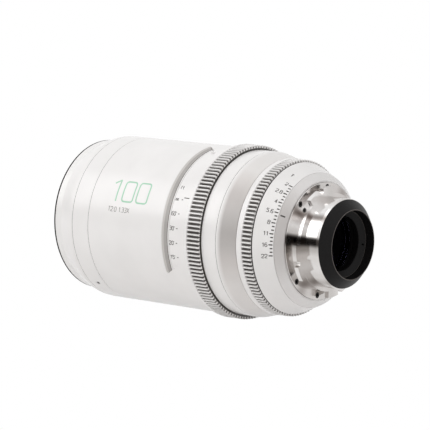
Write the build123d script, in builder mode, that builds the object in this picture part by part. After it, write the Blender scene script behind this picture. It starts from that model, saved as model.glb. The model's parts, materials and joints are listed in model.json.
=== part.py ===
"""A cinema prime lens with two geared rings, a working iris and a focus group on cams.

Millimetres. The optical axis runs along Y with the front of the lens toward +Y, Z is up, and the
origin is the centre of the seating face of the camera mount. Radii are measured from the axis and
stations along it. Angles are degrees round the axis, counted from the top toward -X, which is the
side that carries the scales. Everything stands at rest: focus at infinity, iris near T5.6.
"""

from build123d import *
from math import asin, cos, degrees, pi, radians, sin, sqrt, tan
import os

os.makedirs("parts", exist_ok=True)

# Angles round the axis, and how far the rings turn
scale_angle = 61.5
focus_sweep = 203.3
iris_opening_sweep = 29.3
iris_closing_sweep = 34.7
end_margin = 3.5

# Clearances shared by all pieces
joint_gap = 0.3
fit_gap = 0.05
overrun = 1.0
edge_break = 0.2

# Camera mount
tube_radius = 27.0
tube_reach = 11.07
tube_bore_radius = 25.0
tube_taper_length = 1.47
tube_taper_drop = 0.5
ear_radius = 33.5
ear_thickness = 2.8
ear_count = 4
ear_sweep = 40
ear_notch_width = 4.0
ear_notch_depth = 3.0
hub_radius = 29.4
plate_station = 6.4
plate_radius = 35.0
plate_thickness = 3.0
plate_proud = 0.75
shim_thickness = 0.3
shim_bore_radius = 28.0

# Screws of the mount, four pairs either side of the scale line and its quarters
mount_screw_circle = 32.3
mount_screw_offset = 20.5
mount_screw_head_radius = 1.8
mount_screw_head_height = 1.4
mount_screw_recess = 1.5
mount_screw_shank_radius = 1.0
mount_screw_length = 6.0
socket_width_share = 0.55
socket_depth_share = 0.6

# Rear hood and the baffle screwed into it
hood_reach = 16.46
hood_rim_radius = 20.98
hood_rim_width = 0.5
hood_base_radius = 26.46
hood_spigot_length = 8.0
hood_lip_radius = 18.8
hood_lip_thickness = 2.6
baffle_setback = 5.4
baffle_mouth_radius = 19.6
baffle_throat_radius = 16.4
baffle_funnel_length = 2.8
baffle_step = 0.6
baffle_step_count = 3
baffle_hole_circle = 18.4
baffle_hole_radius = 0.6
baffle_hole_depth = 3.2
baffle_hole_angle = 262.0

# Rear lens cell and its elements
rear_cell_reach = 2.7
rear_cell_radius = 24.6
rear_cell_bore_radius = 19.5
rear_cell_lip_radius = 17.6
rear_cell_lip_thickness = 1.2
rear_cell_flange_radius = 26.5
rear_cell_flange_thickness = 2.0
rear_element_edge = 6.0
rear_spacer_length = 2.5
rear_inner_element_edge = 5.0
ring_length = 2.5
ring_width = 1.6
ring_slot_width = 1.2
ring_slot_depth = 1.0

# White rear ring that carries the iris index
index_ring_rear_radius = 36.0
index_ring_front_radius = 40.3
index_ring_front_station = 10.98
index_ring_boss_radius = 37.0
index_ring_boss_station = 16.0
recess_gap = 0.1

# Screws that join the rear ring to the iris housing
housing_screw_circle = 33.55
housing_screw_head_radius = 1.4
housing_screw_head_height = 1.4
housing_screw_shank_radius = 0.8
housing_screw_length = 6.4

# Iris housing
iris_bearing_radius = 37.95
iris_housing_rear_bore_radius = 31.8
iris_housing_rear_flange = 2.4
cam_bore_radius = 33.6
base_plate_station = 24.8
base_bore_radius = 34.4
housing_shoulder_station = 36.2
housing_shoulder_radius = 43.0
housing_front_station = 47.0

# Iris blades, their base plate and the ring that drives them
blade_count = 8
blade_thickness = 0.2
blade_spacing = 0.28
blade_opening_radius = 17.0
blade_closed_radius = 1.6
blade_outer_radius = 25.4
blade_start = -7
blade_end = 128
blade_pivot_circle = 26.5
blade_pivot_boss = 2.0
blade_pin_radius = 0.6
blade_arm = 7.6
blade_arm_tilt = -4
blade_tail_width = 2.4
base_plate_thickness = 2.0
base_plate_aperture = 17.8
cam_ring_bore_radius = 26.2
cam_ring_plate = 1.8
cam_ring_rim_radius = 31.0
cam_ring_rim = 1.6
cam_slot_depth = 1.3
cam_slot_steps = 12
drive_pin_radius = 0.9
drive_pin_inner_radius = 31.6
drive_pin_outer_radius = 41.0
drive_slot_gap = 0.15
stop_screw_radius = 1.0
stop_screw_length = 4.2
stop_screw_outer_radius = 39.2
stop_groove_depth = 1.6
stop_groove_gap = 0.2

# Iris ring
iris_ring_cone_end_radius = 45.7
iris_ring_cone_end_station = 22.9
iris_ring_groove_width = 0.8
iris_ring_groove_radius = 44.7
iris_ring_front_station = 33.9
iris_stop_station = 27.2

# Gear teeth of both rings
gear_module = 0.8
pressure_angle = 20
tooth_depth_share = 2.25
iris_gear_teeth = 116
iris_gear_root_end = 27.6
focus_gear_rise = 1.95
focus_gear_root_end = 64.8
cutter_radius = 2.5
runout_sink = 0.3
flange_rise = 0.1
tooth_bevel = 0.35

# Middle lens cell
middle_cell_wall = 3.0
middle_cell_lip = 1.8
middle_cell_lip_thickness = 1.5
middle_cell_length = 18.4
middle_rear_element_edge = 5.0
middle_spacer_length = 3.0
middle_front_element_edge = 5.5

# Cone shroud and middle barrel
shroud_rear_station = 34.2
shroud_rear_radius = 47.3
shroud_cone_end_station = 45.6
shroud_wall = 2.0
shroud_round = 0.7
mid_barrel_drop = 0.85
mid_barrel_front_station = 58.0
mid_barrel_flange = 3.0
mid_barrel_flange_gap = 0.4
bearing_wall = 2.3
bearing_front_station = 76.5
focus_stop_station = 61.3

# Main tube with the straight guide slots
main_tube_radius = 36.0
main_tube_wall = 2.5
main_tube_flange = 3.0
main_tube_flange_width = 8.6
main_tube_front_station = 131.0
front_flange_thickness = 3.0
barrel_screw_offset = 3.5
barrel_screw_head_radius = 2.2
barrel_screw_head_height = 1.7
barrel_screw_shank_radius = 1.2
barrel_screw_length = 8.0
barrel_screw_count = 6

# Focus ring, its scale drum, drive ring and cam sleeve
focus_gear_rear_station = 58.3
focus_gear_front_station = 69.6
skirt_wall = 1.4
skirt_front_station = 82.0
skirt_lip = 1.2
skirt_lip_thickness = 2.0
drum_step = 1.35
drum_front_station = 84.05
drive_ring_thickness = 3.0
sleeve_wall = 3.45
sleeve_flange_width = 4.5
sleeve_flange_thickness = 2.0
sleeve_front_station = 110.0
sleeve_screw_offset = 2.3
sleeve_screw_head_radius = 1.4
sleeve_screw_head_height = 1.0
sleeve_screw_shank_radius = 0.8
sleeve_screw_length = 2.8
sleeve_screw_count = 4

# Focus group
focus_travel = 14.0
follower_count = 3
follower_radius = 2.0
follower_station = 87.5
follower_inset = 2.5
follower_setback = 0.2
follower_angle = 31.5
carrier_rear_station = 72.0
carrier_length = 28.0
carrier_wall = 3.5
carrier_lip = 3.0
carrier_lip_thickness = 1.5
focus_rear_element_edge = 7.0
focus_spacer_length = 8.0
focus_front_element_edge = 6.5

# Outer barrel with the focus window
barrel_skin = 0.95
barrel_front_station = 149.35
barrel_wall = 2.85
barrel_front_wall = 4.75
window_rear_station = 76.1
window_front_station = 89.2
window_step_station = 84.3
window_rear_start = 17
window_rear_end = 107
window_front_start = 6
window_front_end = 117
window_sink = 0.1
window_corner = 1.6

# Second ring and its set screws
second_ring_front_station = 162.7
second_ring_spigot_length = 6.3
second_ring_spigot_wall = 2.0
second_ring_web = 1.6
set_screw_station = 156.0
set_screw_radius = 1.2
set_screw_angle = 137
set_screw_count = 2
set_screw_sink = 0.35

# Front ring and the trim ring with the filter thread
front_ring_spigot_length = 9.0
front_ring_wall = 3.2
front_ring_shoulder_station = 163.4
front_ring_shoulder_drop = 0.1
front_ring_upper_station = 166.8
front_ring_upper_drop = 0.45
front_ring_middle_station = 170.7
front_ring_middle_drop = 1.75
front_ring_lower_station = 174.2
front_ring_lower_drop = 3.05
front_rim_station = 176.2
front_rim_drop = 3.75
front_ring_front_station = 180.7
trim_ring_front_station = 181.9
trim_ring_drop = 0.5
trim_seat_drop = 2.5
trim_seat_depth = 3.4
filter_thread_drop = 4.5

# Front cell with the two cylinder elements and the front element
front_cell_drop = 0.5
front_cell_front_station = 175.5
front_cell_lip = 2.5
front_cell_lip_thickness = 2.0
front_cell_rear_wall = 5.8
front_cell_step_station = 151.0
front_cell_front_wall = 2.2
cylinder_rear_edge = 7.0
cylinder_front_edge = 6.0
front_spacer_length = 5.6
front_element_edge = 6.0
cell_screw_offset = 2.8
cell_screw_head_radius = 1.7
cell_screw_head_height = 1.3
cell_screw_shank_radius = 1.0
cell_screw_length = 7.0
cell_screw_count = 4

# How far each glass face bulges (or hollows, below zero) as a share of its rim radius
rear_element_bulge_shares = (-0.05, 0.08)
rear_inner_bulge_shares = (-0.04, 0.06)
middle_rear_bulge_shares = (0.06, -0.02)
middle_front_bulge_shares = (-0.03, 0.05)
focus_rear_bulge_shares = (-0.05, 0.09)
focus_front_bulge_shares = (0.1, -0.05)
front_element_bulge_shares = (-0.05, 0.07)
cylinder_bulge_share = 0.06

# Derived sizes
full_turn = 360
quarter_turn = full_turn / 4
lens_land = ring_width + joint_gap
half_turn = full_turn / 2
plate_front = plate_station + plate_thickness
recess_floor = plate_front + shim_thickness
index_ring_rear = plate_station + plate_proud
iris_ring_rear = index_ring_front_station + joint_gap
iris_ring_bore = iris_bearing_radius + fit_gap
iris_sweep = iris_opening_sweep + iris_closing_sweep
iris_blade_swing = degrees(2 * asin((blade_opening_radius - blade_closed_radius) / (2 * blade_pivot_circle)))
iris_blade_ratio = iris_blade_swing / iris_sweep
iris_blade_rest = iris_blade_ratio * iris_opening_sweep
cam_ring_rear = index_ring_boss_station + iris_housing_rear_flange + joint_gap
cam_plate_rear = cam_ring_rear + cam_ring_rim
cam_plate_front = cam_plate_rear + cam_ring_plate
cam_ring_radius = cam_bore_radius - fit_gap
drive_pin_station = cam_ring_rear + drive_pin_radius + drive_slot_gap
base_plate_front = base_plate_station + base_plate_thickness
gear_tooth_depth = gear_module * tooth_depth_share
iris_gear_tip = gear_module * (iris_gear_teeth / 2 + 1)
cutter_depth = gear_tooth_depth + runout_sink + flange_rise
cutter_runout = sqrt(2 * cutter_radius * cutter_depth - cutter_depth**2)
drive_ring_front = skirt_front_station - skirt_lip_thickness
drive_ring_rear = drive_ring_front - drive_ring_thickness
cam_pitch = focus_travel * full_turn / focus_sweep
opposite_angle = scale_angle + half_turn
guide_middle = follower_station + focus_travel / 2

# Radii built up from the main tube outward, then from the barrel to the front
main_tube_bore_radius = main_tube_radius - main_tube_wall
main_tube_flange_radius = main_tube_radius + main_tube_flange_width
mid_barrel_flange_bore = main_tube_radius + mid_barrel_flange_gap
barrel_screw_circle = main_tube_radius + barrel_screw_offset
sleeve_bore = main_tube_radius + fit_gap
sleeve_radius = sleeve_bore + sleeve_wall
sleeve_flange_radius = sleeve_radius + sleeve_flange_width
sleeve_screw_circle = sleeve_radius + sleeve_screw_offset
follower_inner_radius = main_tube_bore_radius - follower_inset
follower_outer_radius = sleeve_radius - follower_setback
carrier_bore_radius = main_tube_bore_radius - carrier_wall
carrier_lip_radius = carrier_bore_radius - carrier_lip
middle_cell_bore_radius = main_tube_bore_radius - middle_cell_wall
middle_cell_lip_radius = middle_cell_bore_radius - middle_cell_lip
bearing_bore_radius = main_tube_flange_radius + joint_gap
bearing_radius = bearing_bore_radius + bearing_wall
focus_ring_bore = bearing_radius + fit_gap
skirt_radius = focus_ring_bore + skirt_wall
skirt_lip_radius = bearing_radius - skirt_lip
drum_radius = skirt_radius + drum_step
window_bevel_floor = drum_radius - window_sink
barrel_skin_bore_radius = drum_radius + joint_gap
barrel_radius = barrel_skin_bore_radius + barrel_skin
barrel_bore_radius = barrel_radius - barrel_wall
barrel_front_bore_radius = barrel_radius - barrel_front_wall
mid_barrel_radius = barrel_radius - mid_barrel_drop
focus_gear_teeth = round(2 * (barrel_radius + focus_gear_rise) / gear_module) - 2
focus_gear_tip = gear_module * (focus_gear_teeth / 2 + 1)
second_ring_spigot_bore = barrel_front_bore_radius - second_ring_spigot_wall
front_ring_shoulder_radius = barrel_radius - front_ring_shoulder_drop
front_ring_upper_radius = barrel_radius - front_ring_upper_drop
front_ring_middle_radius = barrel_radius - front_ring_middle_drop
front_ring_lower_radius = barrel_radius - front_ring_lower_drop
front_rim_radius = barrel_radius - front_rim_drop
front_ring_bore_radius = front_rim_radius - front_ring_wall
trim_ring_radius = front_rim_radius - trim_ring_drop
trim_seat_radius = front_rim_radius - trim_seat_drop
filter_thread_radius = front_rim_radius - filter_thread_drop
front_cell_radius = front_ring_bore_radius - front_cell_drop
front_cell_rear_bore = front_cell_radius - front_cell_rear_wall
front_cell_lip_radius = front_cell_rear_bore - front_cell_lip
front_cell_front_bore = front_cell_radius - front_cell_front_wall
cell_screw_circle = front_cell_radius - cell_screw_offset


def around(angle):
    """The unit direction out from the axis at an angle."""
    return (-sin(radians(angle)), 0, cos(radians(angle)))


def across(station):
    """A plane square to the axis, whose own angles run the other way round."""
    return Plane(origin=(0, station, 0), x_dir=(0, 0, 1), z_dir=(0, 1, 0))


def meridian(angle):
    """The plane through the axis at an angle, with x as radius and y as station."""
    out = around(angle)
    return Plane(origin=(0, 0, 0), x_dir=out, z_dir=(-out[2], 0, out[0]))


def facing(angle, radius, station):
    """A plane looking outward from the axis, with x along the axis."""
    out = around(angle)
    return Plane(origin=(radius * out[0], station, radius * out[2]), x_dir=(0, 1, 0), z_dir=out)


def turned(*outline, start=0, sweep=full_turn, mode=Mode.ADD):
    """Turn a closed outline of (radius, station) points, from its start down through the sweep."""
    with BuildSketch(meridian(start)) as half:
        with BuildLine():
            Polyline(*outline, close=True)
        make_face()
    revolve(half.sketch, axis=Axis.Y, revolution_arc=sweep, mode=mode)


def box_outline(inner, outer, rear, front):
    """The four corners of a plain ring section."""
    return (inner, rear), (outer, rear), (outer, front), (inner, front)


def spread(count, first):
    """Angles spread evenly round the axis."""
    return [first + step * full_turn / count for step in range(count)]


def discs(station, circle, radius, angles):
    """Round outlines set round the axis at a station."""
    with BuildSketch(across(station)) as outlines:
        for angle in angles:
            with PolarLocations(circle, 1, start_angle=-angle):
                Circle(radius)
    return outlines.sketch


def sockets(station, circle, radius, angles):
    """Six-sided outlines set round the axis at a station."""
    with BuildSketch(across(station)) as outlines:
        for angle in angles:
            with PolarLocations(circle, 1, start_angle=-angle):
                RegularPolygon(radius, 6)
    return outlines.sketch


def screws(station, circle, angles, head_radius, head_height, shank_radius, length, way=1):
    """Socket screws along the axis, their heads seated at a station and the shanks running one way."""
    extrude(discs(station, circle, head_radius, angles), amount=-way * head_height)
    extrude(discs(station, circle, shank_radius, angles), amount=way * length)
    top = station - way * head_height
    extrude(
        sockets(top, circle, head_radius * socket_width_share, angles),
        amount=way * head_height * socket_depth_share,
        mode=Mode.SUBTRACT,
    )


def screw_holes(station, circle, angles, head_radius, head_height, shank_radius, length, way=1):
    """The seat and the hole that take such screws."""
    extrude(
        discs(station, circle, head_radius + fit_gap, angles),
        amount=-way * (head_height + overrun),
        mode=Mode.SUBTRACT,
    )
    extrude(
        discs(station, circle, shank_radius + fit_gap, angles),
        amount=way * length,
        mode=Mode.SUBTRACT,
    )


def radial_pins(angles, station, radius, inner, outer, mode=Mode.ADD):
    """Round pins or holes that stand out from the axis."""
    for angle in angles:
        with BuildSketch(facing(angle, inner, station)) as end:
            Circle(radius)
        extrude(end.sketch, amount=outer - inner, mode=mode)


def lens(rim, rear, front, bulge_shares):
    """Turn a glass element: a rim with a flat land on each side and two round faces."""
    clear = rim - lens_land
    rear_pole = rear - bulge_shares[0] * rim
    front_pole = front + bulge_shares[1] * rim
    with BuildSketch(meridian(0)) as half:
        with BuildLine():
            TangentArc((0, rear_pole), (clear, rear), tangent=(1, 0))
            Polyline((clear, rear), (rim, rear), (rim, front), (clear, front))
            TangentArc((0, front_pole), (clear, front), tangent=(1, 0))
            Line((0, rear_pole), (0, front_pole))
        make_face()
    revolve(half.sketch, axis=Axis.Y)


def cylinder_lens(rim, rear, front, curved_front):
    """A round glass element with one flat face and one face bent about the upright direction only."""
    bulge = rim * cylinder_bulge_share
    sideways = around(scale_angle)
    upright = around(scale_angle + quarter_turn)
    with BuildSketch(Plane(origin=(0, 0, 0), x_dir=sideways, z_dir=upright)) as side:
        with BuildLine():
            if curved_front:
                ThreePointArc((-rim, front - bulge), (0, front), (rim, front - bulge))
                Polyline((rim, front - bulge), (rim, rear), (-rim, rear), (-rim, front - bulge))
            else:
                ThreePointArc((-rim, rear), (0, rear + bulge), (rim, rear))
                Polyline((rim, rear), (rim, front), (-rim, front), (-rim, rear))
        make_face()
    extrude(side.sketch, amount=rim, both=True)
    extrude(discs(rear, 0, rim, (0,)), amount=front - rear, mode=Mode.INTERSECT)


def spacer(outer, rear, front):
    """A plain ring that keeps two elements apart."""
    turned(*box_outline(outer - ring_width, outer, rear, front))


def slotted_ring(outer, rear, front, width=ring_width):
    """A threaded retaining ring with two key slots in its front face."""
    turned(*box_outline(outer - width, outer, rear, front))
    with BuildSketch(across(front)) as keys:
        with PolarLocations(outer, 2, start_angle=-scale_angle):
            Rectangle(outer, ring_slot_width)
    extrude(keys.sketch, amount=-ring_slot_depth, mode=Mode.SUBTRACT)


def toothed_zone(count, tip, rear, front, bore):
    """Straight gear teeth round a ring, each a flat-sided tooth with the standard thickness."""
    half_tooth = gear_module * pi / 4
    slope = tan(radians(pressure_angle))
    tip_half = degrees((half_tooth - gear_module * slope) / tip)
    root = tip - gear_tooth_depth
    root_half = degrees((half_tooth + (gear_tooth_depth - gear_module) * slope) / root)
    points = []
    for middle in spread(count, 0):
        for radius, turn in ((root, -root_half), (tip, -tip_half), (tip, tip_half), (root, root_half)):
            angle = radians(middle + turn)
            points.append((radius * cos(angle), radius * sin(angle)))
    with BuildSketch(across(rear)) as teeth:
        with BuildLine():
            Polyline(*points, close=True)
        make_face()
        Circle(bore, mode=Mode.SUBTRACT)
    extrude(teeth.sketch, amount=front - rear)


def runout_flange(tip, root_end, front, bore):
    """The plain flange in front of the teeth, hollowed where the round cutter left each groove."""
    floor = tip - gear_tooth_depth - runout_sink
    crest = tip + flange_rise
    tip_end = root_end + cutter_runout
    half_way = asin(cutter_runout / cutter_radius) / 2
    middle = (
        floor + cutter_radius * (1 - cos(half_way)),
        root_end + cutter_radius * sin(half_way),
    )
    with BuildSketch(meridian(0)) as half:
        with BuildLine():
            ThreePointArc((floor, root_end), middle, (crest, tip_end))
            Polyline(
                (crest, tip_end),
                (crest, front - edge_break),
                (crest - edge_break, front),
                (bore, front),
                (bore, root_end),
                (floor, root_end),
            )
        make_face()
    revolve(half.sketch, axis=Axis.Y)


def bevel_teeth(tip, rear):
    """Break the rear corners of all teeth in one turn."""
    turned(
        (tip - tooth_bevel - overrun, rear - overrun),
        (tip + overrun, rear - overrun),
        (tip + overrun, rear + tooth_bevel + overrun),
        mode=Mode.SUBTRACT,
    )


# Camera mount: tube, hub, plate and four ears with a locating notch in each
ear_angles = spread(ear_count, scale_angle - quarter_turn / 2)
mount_screw_angles = [
    angle + side
    for angle in spread(ear_count, scale_angle)
    for side in (-mount_screw_offset, mount_screw_offset)
]
mount_screw_seat = plate_station + mount_screw_recess

with BuildPart() as mount_flange:
    turned(
        (tube_bore_radius, -tube_reach),
        (tube_radius - tube_taper_drop, -tube_reach),
        (tube_radius, tube_taper_length - tube_reach),
        (tube_radius, 0),
        (hub_radius, 0),
        (hub_radius, plate_station),
        (plate_radius - edge_break, plate_station),
        (plate_radius, plate_station + edge_break),
        (plate_radius, plate_front),
        (tube_bore_radius, plate_front),
    )
    for angle in ear_angles:
        turned(
            (tube_radius, 0),
            (ear_radius - edge_break, 0),
            (ear_radius, edge_break),
            (ear_radius, ear_thickness - edge_break),
            (ear_radius - edge_break, ear_thickness),
            (tube_radius, ear_thickness),
            start=angle + ear_sweep / 2,
            sweep=ear_sweep,
        )
    with BuildSketch(across(0)) as notches:
        with PolarLocations(ear_radius, ear_count, start_angle=-ear_angles[0]):
            SlotOverall(2 * ear_notch_depth, ear_notch_width)
    extrude(notches.sketch, amount=ear_thickness, mode=Mode.SUBTRACT)
    screw_holes(
        mount_screw_seat,
        mount_screw_circle,
        mount_screw_angles,
        mount_screw_head_radius,
        mount_screw_recess,
        mount_screw_shank_radius,
        mount_screw_length,
    )
mount_flange.part.label = "mount_flange"

with BuildPart() as mount_screws:
    screws(
        mount_screw_seat,
        mount_screw_circle,
        mount_screw_angles,
        mount_screw_head_radius,
        mount_screw_head_height,
        mount_screw_shank_radius,
        mount_screw_length,
    )
mount_screws.part.label = "mount_screws"

with BuildPart() as mount_shim:
    turned(*box_outline(shim_bore_radius, plate_radius, plate_front, recess_floor))
    extrude(
        discs(plate_front, mount_screw_circle, mount_screw_shank_radius + fit_gap, mount_screw_angles),
        amount=shim_thickness,
        mode=Mode.SUBTRACT,
    )
mount_shim.part.label = "mount_shim"


# Rear hood: the black cone behind the tube, and the baffle ring inside it
hood_bore = hood_rim_radius - hood_rim_width
hood_front = hood_spigot_length - tube_reach
baffle_rear = baffle_setback - hood_reach
baffle_front = hood_front - hood_lip_thickness
baffle_radius = hood_bore - fit_gap
baffle_throat = baffle_rear + baffle_funnel_length

with BuildPart() as rear_hood:
    turned(
        (hood_bore, -hood_reach),
        (hood_rim_radius, -hood_reach),
        (hood_base_radius, -tube_reach),
        (tube_bore_radius - fit_gap, -tube_reach),
        (tube_bore_radius - fit_gap, hood_front),
        (hood_lip_radius, hood_front),
        (hood_lip_radius, baffle_front),
        (hood_bore, baffle_front),
    )
rear_hood.part.label = "rear_hood"

baffle_step_length = (baffle_front - baffle_throat) / baffle_step_count
baffle_steps = []
for step in range(baffle_step_count):
    step_radius = baffle_throat_radius + step * baffle_step
    baffle_steps.append((step_radius, baffle_throat + step * baffle_step_length))
    baffle_steps.append((step_radius, baffle_throat + (step + 1) * baffle_step_length))

with BuildPart() as baffle_ring:
    turned(
        (baffle_mouth_radius, baffle_rear),
        (baffle_radius - edge_break, baffle_rear),
        (baffle_radius, baffle_rear + edge_break),
        (baffle_radius, baffle_front),
        *reversed(baffle_steps),
    )
    extrude(
        discs(baffle_rear, baffle_hole_circle, baffle_hole_radius, spread(2, baffle_hole_angle)),
        amount=baffle_hole_depth,
        mode=Mode.SUBTRACT,
    )
baffle_ring.part.label = "baffle_ring"


# Rear lens cell with its two elements, spacer and retaining ring
rear_stack = -rear_cell_reach + rear_cell_lip_thickness
rear_spacer_station = rear_stack + rear_element_edge
rear_inner_station = rear_spacer_station + rear_spacer_length
rear_ring_station = rear_inner_station + rear_inner_element_edge
rear_glass_radius = rear_cell_bore_radius - fit_gap
rear_cell_front = index_ring_boss_station + rear_cell_flange_thickness

with BuildPart() as rear_cell:
    turned(
        (rear_cell_lip_radius, -rear_cell_reach),
        (rear_cell_radius - edge_break, -rear_cell_reach),
        (rear_cell_radius, edge_break - rear_cell_reach),
        (rear_cell_radius, index_ring_boss_station),
        (rear_cell_flange_radius, index_ring_boss_station),
        (rear_cell_flange_radius, rear_cell_front),
        (rear_cell_bore_radius, rear_cell_front),
        (rear_cell_bore_radius, rear_stack),
        (rear_cell_lip_radius, rear_stack),
    )
rear_cell.part.label = "rear_cell"

with BuildPart() as rear_element:
    lens(rear_glass_radius, rear_stack, rear_spacer_station, rear_element_bulge_shares)
rear_element.part.label = "rear_element"

with BuildPart() as rear_spacer:
    spacer(rear_glass_radius, rear_spacer_station, rear_inner_station)
rear_spacer.part.label = "rear_spacer"

with BuildPart() as rear_inner_element:
    lens(rear_glass_radius, rear_inner_station, rear_ring_station, rear_inner_bulge_shares)
rear_inner_element.part.label = "rear_inner_element"

with BuildPart() as rear_retaining_ring:
    slotted_ring(rear_glass_radius, rear_ring_station, rear_ring_station + ring_length)
rear_retaining_ring.part.label = "rear_retaining_ring"


# White rear ring with the iris index, and the screws that hold it to the iris housing
housing_screw_seat = recess_floor + housing_screw_head_height
housing_screw_angles = spread(ear_count, scale_angle + quarter_turn / 2)

with BuildPart() as index_ring:
    turned(
        (plate_radius + recess_gap, index_ring_rear),
        (index_ring_rear_radius, index_ring_rear),
        (index_ring_front_radius, index_ring_front_station),
        (index_ring_boss_radius, index_ring_front_station),
        (index_ring_boss_radius, index_ring_boss_station),
        (rear_cell_radius + fit_gap, index_ring_boss_station),
        (rear_cell_radius + fit_gap, recess_floor),
        (plate_radius + recess_gap, recess_floor),
    )
    extrude(
        discs(recess_floor, mount_screw_circle, mount_screw_shank_radius + fit_gap, mount_screw_angles),
        amount=mount_screw_seat + mount_screw_length + fit_gap - recess_floor,
        mode=Mode.SUBTRACT,
    )
    screw_holes(
        housing_screw_seat,
        housing_screw_circle,
        housing_screw_angles,
        housing_screw_head_radius,
        housing_screw_head_height,
        housing_screw_shank_radius,
        index_ring_boss_station - housing_screw_seat,
    )
index_ring.part.label = "index_ring"

with BuildPart() as housing_screws:
    screws(
        housing_screw_seat,
        housing_screw_circle,
        housing_screw_angles,
        housing_screw_head_radius,
        housing_screw_head_height,
        housing_screw_shank_radius,
        housing_screw_length,
    )
housing_screws.part.label = "housing_screws"


# Iris housing: the bearing of the iris ring and the chamber of the blades
iris_housing_inner_front = index_ring_boss_station + iris_housing_rear_flange
barrel_screw_seat = housing_front_station + mid_barrel_flange + main_tube_flange - barrel_screw_head_height
barrel_screw_angles = spread(barrel_screw_count, scale_angle)

with BuildPart() as iris_housing:
    turned(
        (iris_housing_rear_bore_radius, index_ring_boss_station),
        (iris_bearing_radius, index_ring_boss_station),
        (iris_bearing_radius, housing_shoulder_station),
        (housing_shoulder_radius, housing_shoulder_station),
        (housing_shoulder_radius, housing_front_station),
        (base_bore_radius, housing_front_station),
        (base_bore_radius, base_plate_station),
        (cam_bore_radius, base_plate_station),
        (cam_bore_radius, iris_housing_inner_front),
        (iris_housing_rear_bore_radius, iris_housing_inner_front),
    )
    turned(
        *box_outline(
            cam_bore_radius - overrun,
            iris_bearing_radius + overrun,
            drive_pin_station - drive_pin_radius - drive_slot_gap,
            drive_pin_station + drive_pin_radius + drive_slot_gap,
        ),
        start=opposite_angle + iris_opening_sweep + end_margin,
        sweep=iris_sweep + 2 * end_margin,
        mode=Mode.SUBTRACT,
    )
    extrude(
        discs(
            index_ring_boss_station,
            housing_screw_circle,
            housing_screw_shank_radius + fit_gap,
            housing_screw_angles,
        ),
        amount=iris_housing_rear_flange,
        mode=Mode.SUBTRACT,
    )
    radial_pins(
        (scale_angle,),
        iris_stop_station,
        stop_screw_radius + fit_gap,
        base_bore_radius - overrun,
        iris_bearing_radius + overrun,
        mode=Mode.SUBTRACT,
    )
    extrude(
        discs(
            housing_front_station,
            barrel_screw_circle,
            barrel_screw_shank_radius + fit_gap,
            barrel_screw_angles,
        ),
        amount=-barrel_screw_length,
        mode=Mode.SUBTRACT,
    )
iris_housing.part.label = "iris_housing"



# Iris blades: each turns on its own pin and is led by a second pin in a slot of the cam ring
blade_angles = spread(blade_count, scale_angle)

with BuildPart() as iris_base_plate:
    turned(
        *box_outline(
            base_plate_aperture,
            base_bore_radius - fit_gap,
            base_plate_station,
            base_plate_front,
        )
    )
    extrude(
        discs(base_plate_station, blade_pivot_circle, blade_pin_radius + fit_gap, blade_angles),
        amount=base_plate_thickness,
        mode=Mode.SUBTRACT,
    )
iris_base_plate.part.label = "iris_base_plate"


def blade_plane(angle, swing, station):
    """The plane of a blade: its origin at the pivot, turned with the blade."""
    out = around(angle)
    pivot = (blade_pivot_circle * out[0], station, blade_pivot_circle * out[2])
    return Plane(origin=pivot, x_dir=around(angle - swing), z_dir=(0, 1, 0))


blade_pin_place = (
    blade_arm * sin(radians(blade_arm_tilt)),
    -blade_arm * cos(radians(blade_arm_tilt)),
)
blade_band_middle = (blade_opening_radius + blade_outer_radius) / 2
blade_band_half = (blade_outer_radius - blade_opening_radius) / 2
blade_centre = (-blade_pivot_circle, 0)


def band_point(angle, radius):
    """A point of a blade at an angle and radius about the centre of its own arc."""
    return (
        blade_centre[0] + radius * cos(radians(angle)),
        radius * sin(radians(angle)),
    )


for number, angle in enumerate(blade_angles, start=1):
    level = base_plate_station - number * blade_spacing
    with BuildPart() as iris_blade:
        with BuildSketch(blade_plane(angle, iris_blade_rest, level)) as sheet:
            with BuildLine():
                CenterArc(blade_centre, blade_opening_radius, blade_start, blade_end - blade_start)
                CenterArc(blade_centre, blade_outer_radius, blade_start, blade_end - blade_start)
                Line(
                    band_point(blade_start, blade_opening_radius),
                    band_point(blade_start, blade_outer_radius),
                )
                Line(band_point(blade_end, blade_opening_radius), band_point(blade_end, blade_outer_radius))
            make_face()
            with Locations(
                band_point(blade_start, blade_band_middle),
                band_point(blade_end, blade_band_middle),
            ):
                Circle(blade_band_half)
            Circle(blade_pivot_boss)
            with Locations((blade_pin_place[0] / 2, blade_pin_place[1] / 2)):
                SlotCenterToCenter(
                    blade_arm,
                    blade_tail_width,
                    rotation=degrees(-pi / 2) - blade_arm_tilt,
                )
        extrude(amount=blade_thickness)
        with BuildSketch(blade_plane(angle, iris_blade_rest, level + blade_thickness)):
            Circle(blade_pin_radius)
        extrude(amount=base_plate_front - joint_gap - level - blade_thickness)
        with BuildSketch(blade_plane(angle, iris_blade_rest, level)):
            with Locations(blade_pin_place):
                Circle(blade_pin_radius)
        extrude(amount=cam_plate_front - cam_slot_depth + joint_gap - level)
    iris_blade.part.label = f"iris_blade_{number}"
    export_step(iris_blade.part, f"parts/iris_blade_{number}.step")


# Cam ring: every slot point is where the leading pin stands, turned back by the ring's own angle
def slot_point(share):
    """Where the leading pin of the blade at the top stands on the cam ring, from open to closed."""
    ring = radians(share * iris_sweep - iris_opening_sweep)
    arm = radians(blade_arm_tilt - quarter_turn + share * iris_blade_swing)
    along = blade_pivot_circle + blade_arm * cos(arm)
    aside = blade_arm * sin(arm)
    return (along * cos(ring) + aside * sin(ring), aside * cos(ring) - along * sin(ring))


cam_path = [slot_point(step / cam_slot_steps) for step in range(cam_slot_steps + 1)]
cam_slot_radius = blade_pin_radius + fit_gap

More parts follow.
